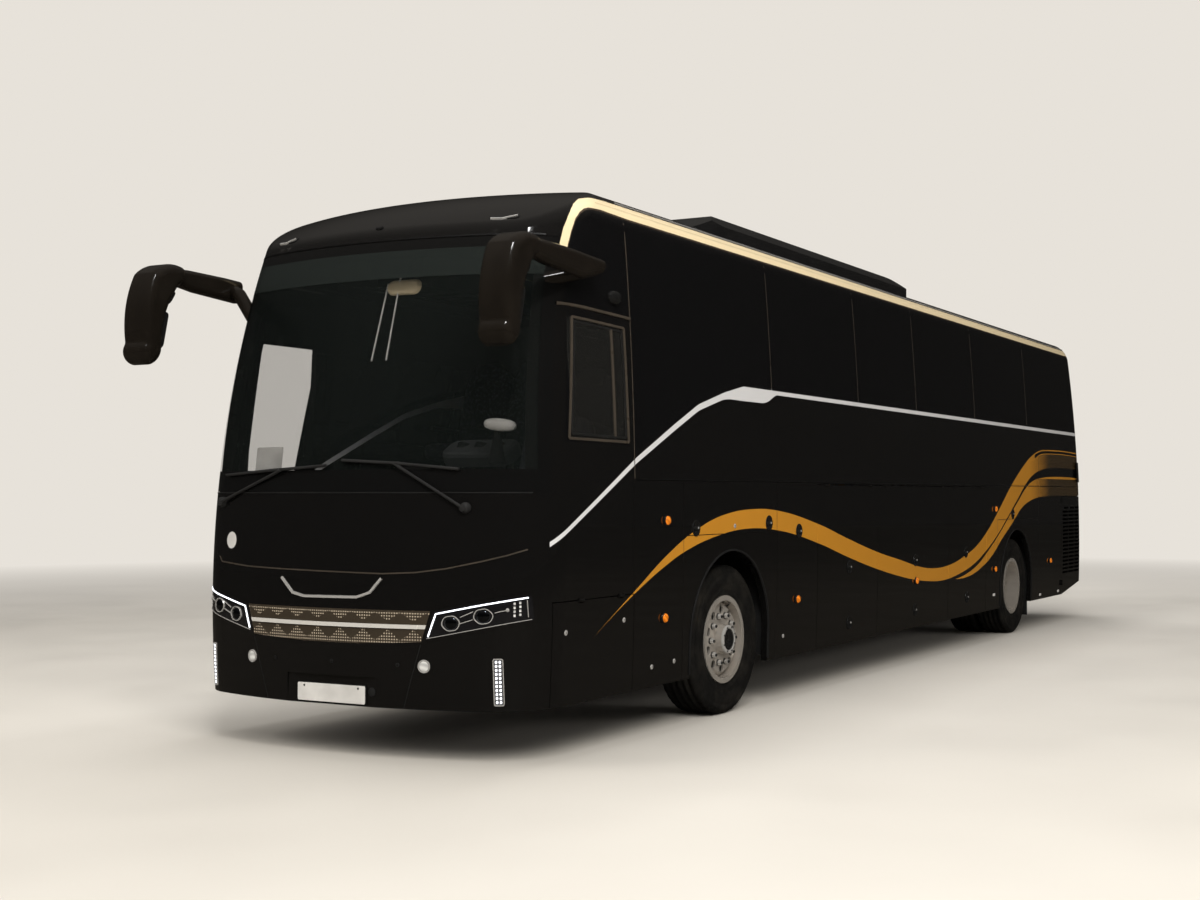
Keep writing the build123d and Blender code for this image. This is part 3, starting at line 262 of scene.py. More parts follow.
WAVE_TOP = [(-5.47, 0.672), (-4.98, 0.926), (-4.52, 1.156), (-4.2, 1.277), (-3.77, 1.38), (-3.29, 1.416)]
WAVE_TOP += [(-2.89, 1.401), (-2.14, 1.29), (-1.53, 1.16), (-0.85, 1.025), (-0.31, 0.94), (0.27, 0.85)]
WAVE_TOP += [(0.6, 0.826), (1.03, 0.836), (1.48, 0.897), (1.9, 0.993), (2.3, 1.149), (2.73, 1.374)]
WAVE_TOP += [(3.18, 1.62), (3.73, 1.86), (4.0, 1.95), (4.37, 2.024), (4.7, 2.041), (6.3, 2.03)]
WAVE_LOW = [(-5.47, 0.672), (-4.97, 0.914), (-4.58, 1.069), (-4.34, 1.145), (-3.89, 1.235), (-3.41, 1.278)]
WAVE_LOW += [(-2.87, 1.254), (-2.14, 1.14), (-1.53, 1.01), (-0.85, 0.88), (-0.31, 0.795), (0.04, 0.75)]
WAVE_LOW += [(0.48, 0.711), (0.9, 0.7), (1.35, 0.737), (1.81, 0.811), (2.2, 0.924), (2.61, 1.08)]
WAVE_LOW += [(2.99, 1.261), (3.4, 1.466), (3.77, 1.647), (4.01, 1.73), (4.33, 1.794), (4.73, 1.825), (6.3, 1.82)]
TWIN_TOP = [(1.23, 0.691), (1.58, 0.726), (1.96, 0.805), (2.35, 0.949), (2.72, 1.108), (3.05, 1.267)]
TWIN_TOP += [(3.4, 1.432), (3.76, 1.596), (4.0, 1.664), (4.39, 1.708), (4.91, 1.726), (6.3, 1.716)]
TWIN_LOW = [(1.23, 0.691), (1.72, 0.705), (2.11, 0.776), (2.46, 0.884), (2.77, 1.03), (3.16, 1.194)]
TWIN_LOW += [(3.56, 1.367), (3.86, 1.439), (4.18, 1.479), (4.56, 1.496), (5.16, 1.503), (6.3, 1.493)]
# Fixed seams on the sides: y, low z, high z.
SEAMS = [(-5.0, 0.9, 1.6), (-4.35, 0.3, 1.6), (-2.9, 0.3, 1.6), (2.64, 0.3, 1.25), (4.24, 0.3, 1.6)]


def paint():
    """Black coach paint under clear coat, with its bands and fixed seams."""
    s = Shade("black_paint", BLACK, 0.1, coat=0.35)
    flank = s.math("GREATER_THAN", s.math("ABSOLUTE", s.x), 0.95)
    ahead = s.math("LESS_THAN", s.y, 6.3)

    def between(low, high, straight=False):
        under = s.math("LESS_THAN", s.z, s.curve(high, straight))
        over = s.math("GREATER_THAN", s.z, s.curve(low, straight))
        inside = s.math("GREATER_THAN", s.y, high[0][0] + 0.004)
        return s.both(under, over, inside, flank, ahead)

    silver = between(SILVER_LOW, SILVER_TOP, True)
    rim_x = s.math("GREATER_THAN", s.math("ABSOLUTE", s.x), 1.09)
    cream = s.both(between(CREAM_LOW, CREAM_TOP, True), rim_x)
    under = between([(y, z - 0.012) for y, z in CREAM_LOW], CREAM_LOW, True)
    wave = between(WAVE_LOW, WAVE_TOP)
    twin = between(TWIN_LOW, TWIN_TOP)
    fade = s.scale(s.y, 3.9, 4.75)
    edge = s.curve([(3.0, 2.03), (4.0, 1.905), (4.37, 1.98), (4.7, 1.998), (6.3, 1.987)])
    fine = s.line(s.z, edge, 0.007)
    gap = s.both(s.math("GREATER_THAN", s.z, edge), s.math("GREATER_THAN", s.y, 4.15))
    top = s.math("GREATER_THAN", s.z, s.math("SUBTRACT", s.curve(WAVE_TOP), 0.012))
    dark = s.both(gap, s.math("SUBTRACT", 1.0, top))
    band = s.mix(s.both(fade, s.math("SUBTRACT", 1.0, s.either(fine, top))), GOLD, BROWN)
    band = s.mix(dark, band, BLACK)
    low_band = s.mix(s.both(fade, s.math("LESS_THAN", s.z, 1.70)), GOLD, BROWN)
    colour = s.mix(silver, BLACK, SILVER)
    colour = s.mix(under, colour, (0.055, 0.040, 0.028))
    colour = s.mix(cream, colour, CREAM)
    colour = s.mix(twin, colour, low_band)
    colour = s.mix(wave, colour, band)
    low_x = s.math("GREATER_THAN", s.math("ABSOLUTE", s.x), 1.15)
    seams = [s.both(s.line(s.y, y, 0.0028), s.band(s.z, low, high)) for y, low, high in SEAMS]
    seams.append(s.both(s.line(s.z, 1.25, 0.0028), s.either(s.band(s.y, -4.35, -2.9), s.band(s.y, 2.64, 4.24))))
    seam = s.both(s.either(*seams), low_x)
    s.to("Base Color", s.mix(seam, colour, (0.001, 0.001, 0.001)))
    dust = s.both(s.scale(s.z, 1.1, 0.3), s.noise(2.5, 5.0))
    rough = s.math("ADD", s.scale(dust, 0.2, 0.8, 0.05, 0.14), s.math("MULTIPLY", seam, 0.6))
    s.to("Roughness", rough)
    ripple = s.math("ADD", s.noise(0.9, 1.0), s.math("MULTIPLY", s.noise(420, 1.0), 0.012))
    s.bump(s.math("SUBTRACT", ripple, s.math("MULTIPLY", seam, 0.6)), 0.12, 0.004)
    return s.mat


def side_glass():
    """Near-black bonded glass, lighter where the driver's window is clear."""
    s = Shade("side_glass", (0.0035, 0.0035, 0.0038), 0.025)
    driver = s.both(s.band(s.y, -5.70, -5.06), s.band(s.z, 1.85, 2.56), s.math("GREATER_THAN", s.x, 0))
    s.to("Base Color", s.mix(driver, (0.0035, 0.0035, 0.0038), (0.016, 0.016, 0.015)))
    s.to("Alpha", s.scale(driver, 0, 1, 0.965, 0.5))
    s.wear(1.5, 0.015, 0.04)
    s.bump(s.noise(1.1, 1.0), 0.05, 0.004)
    return s.mat


def screen_glass():
    """Windscreen: clear in the middle, printed black round its edge, a deep band on top."""
    s = Shade("screen_glass", (0.012, 0.014, 0.014), 0.02)
    edge = s.scale(s.z, 1.66, 2.9, 1.205, 1.112)
    inside = s.math("LESS_THAN", s.math("ABSOLUTE", s.x), edge)
    clear = s.both(inside, s.band(s.z, 1.665, 2.97))
    header = s.math("GREATER_THAN", s.z, 2.80)
    alpha = s.scale(clear, 0, 1, 1.0, 0.22)
    s.to("Alpha", s.math("MAXIMUM", alpha, s.both(header, 0.86)))
    s.to("Base Color", s.mix(clear, (0.004, 0.004, 0.004), (0.012, 0.015, 0.014)))
    s.wear(1.2, 0.01, 0.035)
    return s.mat


def clear_glass(name, tint=(0.02, 0.022, 0.02), alpha=0.3):
    s = Shade(name, tint, 0.02)
    s.to("Alpha", alpha)
    s.wear(3.0, 0.01, 0.04)
    return s.mat


def door_glass():
    """The entrance door's pane: clear between a black border and a slanted post."""
    s = Shade("door_glass", (0.02, 0.022, 0.02), 0.02)
    post = s.math("ADD", -5.172, s.math("MULTIPLY", s.math("SUBTRACT", s.z, 1.856), 0.232))
    clear = s.both(s.math("LESS_THAN", s.y, post), s.math("LESS_THAN", s.z, 2.515))
    s.to("Base Color", s.mix(clear, (0.004, 0.004, 0.004), (0.02, 0.022, 0.02)))
    s.to("Alpha", s.scale(clear, 0, 1, 1.0, 0.08))
    s.wear(3.0, 0.01, 0.04)
    return s.mat


def plastic(name, colour, low, high, grain=0.15, size=260):
    """Moulded plastic or rubber with fine grain."""
    s = Shade(name, colour, low)
    drift = s.scale(s.noise(6.0), 0.3, 0.7, 0.85, 1.15)
    node = s.tree.nodes.new("ShaderNodeVectorMath")
    node.operation = "SCALE"
    node.inputs[0].default_value = colour
    s.tree.links.new(drift, node.inputs["Scale"])
    s.to("Base Color", node.outputs[0])
    s.wear(9.0, low, high)
    s.bump(s.noise(size, 2.0), grain, 0.0012)
    return s.mat


def metal(name, colour, low, high, brushed=0.0, share=1.0):
    """Polished or cast metal, its mirror-like share of the light, with faint brushing; below a full share the rest is a
    light diffuse colour, a painted reflection that keeps the metal bright.
    """
    s = Shade(name, colour, low, metal=share)
    s.wear(14.0, low, high)
    if brushed:
        wave = s.tree.nodes.new("ShaderNodeTexNoise")
        s.tree.links.new(s.spot, wave.inputs["Vector"])
        wave.inputs["Scale"].default_value = 90
        s.bump(wave.outputs["Fac"], brushed, 0.0008)
    return s.mat


def glow(name, colour, power):
    """A lit lamp."""
    s = Shade(name, colour, 0.2)
    s.to("Emission Color", (*colour, 1))
    s.to("Emission Strength", power)
    s.wear(30.0, 0.1, 0.25)
    return s.mat


def lens(name, colour, ribs=160):
    """A coloured lamp lens with moulded ribs inside."""
    s = Shade(name, colour, 0.08, coat=0.8)
    rib = s.math("SINE", s.math("MULTIPLY", s.math("ADD", s.y, s.z), ribs))
    s.to("Base Color", s.mix(s.scale(rib, -1, 1), colour, tuple(c * 0.55 for c in colour)))
    s.bump(rib, 0.3, 0.001)
    s.to("Emission Color", (*colour, 1))
    s.to("Emission Strength", 0.12)
    return s.mat


def tail_lamp():
    """Ribbed red lens to the rear, a black housing on every other side."""
    s = Shade("tail_lamp", (0.40, 0.008, 0.006), 0.08, coat=0.8)
    split = s.tree.nodes.new("ShaderNodeSeparateXYZ")
    s.put(s.tree.nodes.new("ShaderNodeNewGeometry").outputs["True Normal"], split.inputs[0])
    rear_face = s.math("GREATER_THAN", split.outputs[1], 0.3)
    rib = s.math("SINE", s.math("MULTIPLY", s.z, 160.0))
    red = s.mix(s.scale(rib, -1, 1), (0.40, 0.008, 0.006), (0.22, 0.005, 0.004))
    s.to("Base Color", s.mix(rear_face, (0.004, 0.004, 0.004), red))
    s.bump(rib, 0.3, 0.001)
    return s.mat


def grille():
    """Bronze panel with clusters of small holes above and below a bright strip."""
    s = Shade("bronze_grille", (0.052, 0.040, 0.027), 0.38, metal=0.3)
    pitch = 0.0165
    gx = s.math("SUBTRACT", s.math("FRACT", s.math("DIVIDE", s.x, pitch)), 0.5)
    gz = s.math("SUBTRACT", s.math("FRACT", s.math("DIVIDE", s.z, pitch)), 0.5)
    reach = s.math("SQRT", s.math("ADD", s.math("MULTIPLY", gx, gx), s.math("MULTIPLY", gz, gz)))
    dot = s.math("LESS_THAN", reach, 0.27)
    tooth = s.math("PINGPONG", s.x, 0.082)
    height = s.scale(tooth, 0.0, 0.082, 0.012, 0.075)
    low = s.band(s.z, 0.672, s.math("ADD", 0.682, height))
    high = s.band(s.z, s.math("SUBTRACT", 0.862, s.math("MULTIPLY", height, 0.75)), 0.862)
    dots = s.both(dot, s.either(low, high))
    strip = s.band(s.z, 0.764, 0.7865)
    colour = s.mix(dots, (0.052, 0.040, 0.027), (0.60, 0.51, 0.39))
    s.to("Base Color", s.mix(strip, colour, (0.72, 0.70, 0.66)))
    s.to("Roughness", s.scale(strip, 0, 1, 0.38, 0.2))
    s.bump(s.math("SUBTRACT", s.noise(200, 2.0), dots), 0.35, 0.0015)
    return s.mat


def front_lamp():
    """Black headlamp lens, pale fog and strip lamps, amber markers along the flanks."""
    s = Shade("front_lamp", (0.006, 0.006, 0.007), 0.03, coat=0.9)
    flank = s.math("GREATER_THAN", s.y, -5.5)
    low = s.both(s.math("LESS_THAN", s.z, 0.66), s.math("LESS_THAN", s.y, -5.5))
    facet = s.noise(70, 2.0)
    colour = s.mix(low, (0.006, 0.006, 0.007), (0.10, 0.10, 0.105))
    s.to("Base Color", s.mix(flank, colour, (0.80, 0.20, 0.012)))
    s.bump(facet, 0.06, 0.001)
    return s.mat


def fabric(name, colour):
    """Woven moquette: fine ribs, soft sheen, faint colour flecks."""
    s = Shade(name, colour, 0.85)
    rib = s.math("SINE", s.math("MULTIPLY", s.x, 900.0))
    cross = s.math("SINE", s.math("MULTIPLY", s.math("ADD", s.y, s.z), 900.0))
    fleck = s.math("GREATER_THAN", s.noise(45, 1.0), 0.58)
    s.to("Base Color", s.mix(fleck, colour, tuple(min(1, c * 2.2) for c in colour)))
    s.bump(s.math("ADD", rib, cross), 0.25, 0.001)
    return s.mat


def rubber():
    """Tyre rubber, greyer and dustier in random patches."""
    s = Shade("tyre_rubber", (0.012, 0.012, 0.012), 0.7)
    dust = s.noise(7.0, 6.0)
    s.to("Base Color", s.mix(s.scale(dust, 0.45, 0.75), (0.0055, 0.0053, 0.0050), (0.016, 0.014, 0.011)))
    s.wear(20.0, 0.55, 0.8)
    s.bump(s.noise(150, 3.0), 0.25, 0.0015)
    return s.mat


M = {
    "paint": paint(),
    "glass": side_glass(),
    "screen": screen_glass(),
    "door_glass": door_glass(),
    "lamp_cover": clear_glass("lamp_cover", (0.03, 0.03, 0.03), 0.12),
    "gloss": plastic("black_plastic", (0.008, 0.008, 0.008), 0.12, 0.22, 0.03, 90),
    "bronze": plastic("mirror_shell", (0.0085, 0.0068, 0.0052), 0.10, 0.18, 0.02, 60),
    "matt": plastic("matt_plastic", (0.016, 0.016, 0.016), 0.5, 0.7),
    "dash": plastic("dash_plastic", (0.030, 0.031, 0.032), 0.5, 0.65),
    "chassis": plastic("chassis_black", (0.010, 0.010, 0.010), 0.6, 0.85, 0.4, 60),
    "vinyl": plastic("floor_vinyl", (0.045, 0.045, 0.047), 0.5, 0.7),
    "liner": plastic("cabin_liner", (0.10, 0.10, 0.105), 0.6, 0.8),
    "rubber": rubber(),
    "seal": plastic("rubber_seal", (0.010, 0.010, 0.010), 0.55, 0.75),
    # Alloy and chrome are only partly mirror-like: their light diffuse colour is a painted reflection standing in for
    # the bright surroundings they would mirror.
    "alloy": metal("polished_alloy", (0.58, 0.54, 0.49), 0.12, 0.26, 0.08, 0.68),
    "chrome": metal("chrome", (0.56, 0.55, 0.53), 0.06, 0.14, 0.0, 0.5),
    "steel": metal("cast_steel", (0.10, 0.10, 0.10), 0.45, 0.65, 0.3),
    "grille": grille(),
    "front_lamp": front_lamp(),
    # This window-frame colour also serves as the painted highlight along the nose lip.
    "frame_line": plastic("window_frame_and_lip_highlight", (0.048, 0.039, 0.030), 0.25, 0.4, 0.05),
    "white": plastic("white_paint", (0.56, 0.55, 0.53), 0.3, 0.45, 0.05),
    "beige": plastic("mirror_back", (0.60, 0.50, 0.33), 0.4, 0.55, 0.05),
    "drl": glow("lamp_white", (0.9, 0.93, 1.0), 1.6),
    "amber": lens("amber_lens", (0.85, 0.23, 0.015)),
    "red": lens("red_lens", (0.40, 0.008, 0.006)),
    "tail_lamp": tail_lamp(),
    "fog": lens("white_lens", (0.62, 0.62, 0.60)),
    "projector": metal("projector_glass", (0.10, 0.11, 0.13), 0.04, 0.08),
    "seat": fabric("seat_fabric", (0.020, 0.020, 0.026)),
    "blind": fabric("blind_cloth", (0.028, 0.028, 0.026)),
}
SKIN = {
    "paint": ["left_side_wall", "right_side_wall", "roof_panel", "front_dome", "front_panel", "front_bumper",
              "rear_wall", "entrance_door", "service_flap_left", "radiator_door_left", "engine_lid"],
    "glass": ["body_windows"],
    "screen": ["windscreen"],
    "door_glass": ["door_glass"],
    "gloss": ["roof_ac_unit"],
    "bronze": ["mirrors"],
    "matt": ["wipers", "luggage_racks"],
    "dash": ["dashboard"],
    "tail_lamp": ["tail_lamps"],
    "front_lamp": ["front_lamps"],
    "grille": ["front_grille"],
    "chassis": ["underframe", "door_arms"],
    "vinyl": ["floor_deck"],
    "steel": ["front_axle", "rear_axle", "knuckle_left", "knuckle_right", "engine_block"],
    "alloy": ["front_rim_left", "front_rim_right", "rear_rims_left", "rear_rims_right"],
}
SKIN["paint"] += [f"luggage_door_{side}_{door}" for side, _ in SIDES for door in ("front", "middle", "rear")]
for key, names in SKIN.items():
    for name in names:
        nodes[name].material_slots[0].material = M[key]


# ---------------------------------------------------------------- where the outside is
def outside():
    """One tree of the outer panels, for placing pieces on them."""
    verts, faces = [], []
    for key in ("paint", "glass", "screen", "door_glass", "grille"):
        for name in SKIN[key]:
            base = len(verts)
            verts += [v.co.copy() for v in nodes[name].data.vertices]
            faces += [[base + i for i in p.vertices] for p in nodes[name].data.polygons]
    lamps = nodes["front_lamps"].data
    base = len(verts)
    verts += [v.co.copy() for v in lamps.vertices]
    faces += [[base + i for i in p.vertices] for p in lamps.polygons]
    return BVHTree.FromPolygons(verts, faces)


TREE = outside()
SIDE_MID = (1.275 - 22.6, 1.23)


def on_side(y, z, sign, out=0.0):
    """Point and outward normal on a flank."""
    spot, normal, _, _ = TREE.ray_cast(Vector((sign * 3, y, z)), Vector((-sign, 0, 0)))
    if spot is None or abs(spot.x) < 1.05 or abs(normal.x) < 0.3:
        x = sqrt(22.6**2 - (z - SIDE_MID[1]) ** 2) + SIDE_MID[0]
        spot, normal = Vector((sign * x, y, z)), Vector((sign, 0, 0))
    if normal.x * sign < 0:
        normal = -normal
    return spot + normal * out, normal


def on_front(x, z, out=0.0):
    """Point and outward normal on the nose."""
    spot, normal, _, _ = TREE.ray_cast(Vector((x, -9, z)), Vector((0, 1, 0)))
    if spot is None:
        spot, normal = Vector((x, -6.25, z)), Vector((0, -1, 0))
    if normal.y > 0:
        normal = -normal
    return spot + normal * out, normal


def on_tail(x, z, out=0.0):
    """Point and outward normal on the tail."""
    spot, normal, _, _ = TREE.ray_cast(Vector((x, 9, z)), Vector((0, -1, 0)))
    if spot is None:
        spot, normal = Vector((x, 6.45, z)), Vector((0, 1, 0))
    if normal.y < 0:
        normal = -normal
    return spot + normal * out, normal


# ---------------------------------------------------------------- mesh kit
class Piece:
    """Gathers faces in a few materials and becomes one object."""

    def __init__(self, *mats):
        self.mats, self.verts, self.faces, self.kinds, self.soft = list(mats), [], [], [], []

    def add(self, verts, faces, mat=None, smooth=True):
        kind = self.mats.index(mat) if mat else 0
        base = len(self.verts)
        self.verts += [tuple(v) for v in verts]
        self.faces += [[base + i for i in face] for face in faces]
        self.kinds += [kind] * len(faces)
        self.soft += [smooth] * len(faces)

    def rings(self, rings, mat=None, closed=True, caps=(True, True), smooth=True):
        """Skin between rings of equal length."""
        n = len(rings[0])
        verts = [p for ring in rings for p in ring]
        faces = []
        for r in range(len(rings) - 1):
            for i in range(n if closed else n - 1):
                j = (i + 1) % n
                faces.append([r * n + i, r * n + j, (r + 1) * n + j, (r + 1) * n + i])
        self.add(verts, faces, mat, smooth)
        if caps[0]:
            self.add(rings[0], [list(range(n))[::-1]], mat, False)
        if caps[1]:
            self.add(rings[-1], [list(range(n))], mat, False)

    def lathe(self, centre, axis, profile, mat=None, turns=24, smooth=True):
        """Turned form: profile of (radius, distance along axis)."""
        centre, axis = Vector(centre), Vector(axis).normalized()
        across = axis.orthogonal().normalized()
        other = axis.cross(across)
        rings = []
        for r, h in profile:
            at = centre + axis * h
            steps = [2 * pi * i / turns for i in range(turns)]
            rings.append([at + (across * cos(t) + other * sin(t)) * max(r, 1e-5) for t in steps])
        self.rings(rings, mat, smooth=smooth)

    def tube(self, path, r, mat=None, turns=8, caps=True):
        """Round bar along a path. r may be a list, one for each point."""
        path = [Vector(p) for p in path]
        radii = r if isinstance(r, list) else [r] * len(path)
        rings, side = [], None
        for i, p in enumerate(path):
            way = (path[min(i + 1, len(path) - 1)] - path[max(i - 1, 0)]).normalized()
            side = way.orthogonal() if side is None else side - way * side.dot(way)
            side.normalize()
            other = way.cross(side)
            steps = [2 * pi * k / turns for k in range(turns)]
            rings.append([p + (side * cos(t) + other * sin(t)) * radii[i] for t in steps])
        self.rings(rings, mat, caps=(caps, caps))

    def pad(self, centre, u, v, size, rise, mat=None, corner=None, bevel=0.3, sink=0.0, smooth=False):
        """Rounded plate standing on a surface: size along u and v, rise along their normal."""
        centre, u, v = Vector(centre), Vector(u).normalized(), Vector(v).normalized()
        n = u.cross(v)
        a, b = size[0] / 2, size[1] / 2
        corner = min(a, b) * 0.999 if corner is None else corner
        lip = min(bevel * rise, corner * 0.6)
        rings = []
        for inset, h in ((0, -sink), (0, rise - lip), (lip * 0.35, rise - lip * 0.3), (lip, rise)):
            ring = []
            r = corner - inset
            for k in range(16):
                t = pi / 2 * (k // 4) + (k % 4) * pi / 6
                cx = (a - corner) * (1 if k < 4 or k >= 12 else -1)
                cy = (b - corner) * (1 if k < 8 else -1)
                ring.append(centre + u * (cx + r * cos(t)) + v * (cy + r * sin(t)) + n * h)
            rings.append(ring)
        self.rings(rings, mat, caps=(False, True), smooth=smooth)

    def ribbon(self, spots, width, rise, mat=None, closed=False, sink=0.004):
        """Low strip along (point, normal) spots on a surface."""
        rings = []
        count = len(spots)
        for i, (p, n) in enumerate(spots):
            a = spots[(i - 1) % count if closed else max(i - 1, 0)][0]
            b = spots[(i + 1) % count if closed else min(i + 1, count - 1)][0]
            way = (b - a).normalized()
            side = n.cross(way).normalized()
            w = width / 2
            rings.append([p - side * w - n * sink, p - side * w * 0.7 + n * rise, p + side * w * 0.7 + n * rise,
                          p + side * w - n * sink])
        if closed:
            rings.append(rings[0])
        self.rings(rings, mat, closed=False, caps=(False, False), smooth=False)

    def make(self, name, body):
        mesh = bpy.data.meshes.new(name)
        mesh.from_pydata(self.verts, [], self.faces)
        for mat in self.mats:
            mesh.materials.append(M[mat])
        mesh.polygons.foreach_set("material_index", self.kinds)
        mesh.polygons.foreach_set("use_smooth", self.soft)
        mesh.update()
        obj = bpy.data.objects.new(name, mesh)
        bpy.context.scene.collection.objects.link(obj)
        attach(obj, body)
        return obj


def spread(points, step):
    """Points along a broken line, no further apart than step."""
    out = []
    for a, b in zip(points, points[1:]):
        count = max(1, int(hypot(b[0] - a[0], b[1] - a[1]) / step))
        out += [(a[0] + (b[0] - a[0]) * i / count, a[1] + (b[1] - a[1]) * i / count) for i in range(count)]
    return out + [points[-1]]


def rounded(points, r, steps=4):
    """A closed outline with its corners rounded."""
    out = []
    for i, p in enumerate(points):
        p = Vector(p)
        a, b = Vector(points[i - 1]), Vector(points[(i + 1) % len(points)])
        start = p + (a - p).normalized() * min(r, (a - p).length / 2)
        end = p + (b - p).normalized() * min(r, (b - p).length / 2)
        for k in range(steps + 1):
            t = k / steps
            out.append(tuple(start * (1 - t) ** 2 + p * 2 * t * (1 - t) + end * t**2))
    return out


def home(name):
    """The body that a CAD node rides on."""
    return next(body for body, empty in frame["bodies"].items() if empty == nodes[name].parent)


def bar(piece, a, b, width, height, mat=None):
    """Square bar between two points, its height along Z as near as it can be."""
    a, b = Vector(a), Vector(b)
    way = (b - a).normalized()
    side = way.cross(Vector((0, 0, 1)))
    side = side.normalized() if side.length > 1e-4 else Vector((1, 0, 0))
    up = side.cross(way)
    w, h = side * width / 2, up * height / 2
    piece.rings([[p - w - h, p + w - h, p + w + h, p - w + h] for p in (a, b)], mat, smooth=False)


def pillow(piece, centre, axes, size, mat=None, power=0.42, rows=9, turns=16):
    """Stuffed form: a rounded box, fullest in the middle of each face."""
    centre = Vector(centre)
    axes = [Vector(a).normalized() for a in axes]

    def soft(v):
        return (1 if v >= 0 else -1) * abs(v) ** power

    rings = []
    for i in range(rows):
        up = -pi / 2 + pi * (i + 0.5) / rows
        ring = []
        for k in range(turns):
            t = 2 * pi * (k + 0.5) / turns
            local = (soft(cos(up)) * soft(cos(t)), soft(cos(up)) * soft(sin(t)), soft(sin(up)))
            ring.append(centre + sum((a * (c * s / 2) for a, c, s in zip(axes, local, size)), Vector()))
        rings.append(ring)
    piece.rings(rings, mat)


# ---------------------------------------------------------------- wheels
WHEEL_R = 0.515
WHEEL_X = 1.085
TWIN_GAP = 0.330
AXLES = {"front": -3.640, "rear": 3.360}
SIDEWALL = [(0.292, 0.112), (0.304, 0.121), (0.318, 0.126), (0.321, 0.1245), (0.345, 0.135), (0.349, 0.1365)]
SIDEWALL += [(0.352, 0.1352), (0.385, 0.1455), (0.412, 0.1473), (0.438, 0.1470), (0.441, 0.1458), (0.468, 0.1438)]
SIDEWALL += [(0.471, 0.1455), (0.486, 0.1432), (0.4895, 0.1385), (0.4995, 0.1345), (0.509, 0.128), (0.5145, 0.117)]
GROOVES = (-0.078, -0.027, 0.027, 0.078)
TREAD_STEPS = 180


def tyre(piece, x, y):
    """A road tyre: ringed sidewalls, four grooves, notched shoulders."""
    tread = []
    for g in GROOVES:
        tread += [(0.515, g - 0.008), (0.502, g - 0.005), (0.502, g + 0.005), (0.515, g + 0.008)]
    profile = [(r, -h) for r, h in SIDEWALL] + tread + [(r, h) for r, h in reversed(SIDEWALL)]
    rings = []
    for r, h in profile:
        shoulder = r > 0.4990 and abs(h) > 0.084
        ring = []
        for i in range(TREAD_STEPS):
            t = 2 * pi * i / TREAD_STEPS
            cut = 0.007 if shoulder and i % 4 == 0 else 0.0
            ring.append((x + h, y + (r - cut) * cos(t), WHEEL_R + (r - cut) * sin(t)))
        rings.append(ring)
    piece.rings(rings, caps=(False, False))


def hex_nut(piece, at, sign):
    """Wheel nut with its washer flange and the stud's end."""
    piece.lathe(at, (sign, 0, 0), [(0.0235, 0.0), (0.0235, 0.004), (0.019, 0.006)], "steel", 12)
    piece.lathe(at, (sign, 0, 0), [(0.0195, 0.004), (0.0195, 0.0235), (0.0165, 0.027)], "chrome", 6, False)
    piece.lathe(at, (sign, 0, 0), [(0.0105, 0.026), (0.0105, 0.034), (0.008, 0.036)], "steel", 10)


def wheel_trim(name, axle, face, hub, sign):
    """Nuts, hub end and valve of a wheel whose disc has its face at an x from the wheel's middle."""
    piece = Piece("chrome", "steel", "gloss", "rubber")
    y = AXLES[axle]
    x = sign * (WHEEL_X + face)
    half_pitch = pi / 10 if sign < 0 else 0.0
    for i in range(10):
        t = 2 * pi * i / 10 + half_pitch
        hex_nut(piece, (x, y + 0.1675 * cos(t), WHEEL_R + 0.1675 * sin(t)), sign)
    middle = (x, y, WHEEL_R)
    ring = [(0.099, hub - 0.012), (0.0995, hub - 0.004), (0.094, hub + 0.003), (0.078, hub + 0.004), (0.074, hub)]
    piece.lathe(middle, (sign, 0, 0), ring, "chrome", 40)
    cap = [(0.074, hub - 0.002), (0.073, hub + 0.002), (0.050, hub + 0.004), (0.047, hub + 0.001), (0.0, hub + 0.002)]
    piece.lathe(middle, (sign, 0, 0), cap, "gloss", 40)
    for i in range(8):
        t = 2 * pi * (i + 0.5) / 8
        bolt = (x + sign * (hub + 0.003), y + 0.086 * cos(t), WHEEL_R + 0.086 * sin(t))
        piece.lathe(bolt, (sign, 0, 0), [(0.0065, 0), (0.0065, 0.005), (0.005, 0.0065)], "steel", 6, False)
    t = 2 * pi * 2 / 10 + half_pitch
    a, b = 0.232, 0.262
    foot = Vector((x + sign * 0.002, y + a * cos(t), WHEEL_R + a * sin(t)))
    end = Vector((x + sign * 0.022, y + b * cos(t), WHEEL_R + b * sin(t)))
    piece.tube([foot, (foot + end) / 2 + Vector((sign * 0.008, 0, 0)), end], [0.005, 0.0045, 0.0045], "steel")
    piece.make(name, home(f"{axle}_tyre{'s' if axle == 'rear' else ''}_{'left' if sign > 0 else 'right'}"))


for side, sign in SIDES:
    rubber_piece = Piece("rubber")
    tyre(rubber_piece, sign * WHEEL_X, AXLES["front"])
    node = f"front_tyre_{side}"
    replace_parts(rubber_piece.make(f"tyre_front_{side}", home(node)), node)
    rubber_piece = Piece("rubber")
    for x in (WHEEL_X, WHEEL_X - TWIN_GAP):
        tyre(rubber_piece, sign * x, AXLES["rear"])
    node = f"rear_tyres_{side}"
    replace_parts(rubber_piece.make(f"tyres_rear_{side}", home(node)), node)
    wheel_trim(f"nuts_front_{side}", "front", 0.104, 0.060, sign)
    wheel_trim(f"nuts_rear_{side}", "rear", -0.149, 0.120, sign)


# ---------------------------------------------------------------- nose
def front_spots(points, step=0.03, out=0.0, sign=1):
    """(point, normal) along a line of x, z on the nose."""
    return [on_front(sign * x, z, out) for x, z in spread(points, step)]


def nose_pad(piece, x, z, size, rise, mat, sign=1, **more):
    """Rounded plate on the nose, size in x and z."""
    spot, normal = on_front(sign * x, z)
    u = Vector((0, 0, 1)).cross(normal).normalized()
    piece.pad(spot, u, normal.cross(u), size, rise, mat, **more)


def hexagon(x, z, rx, rz, turn=0.0):
    return [(x + rx * cos(turn + pi / 3 * i), z + rz * sin(turn + pi / 3 * i)) for i in range(6)]


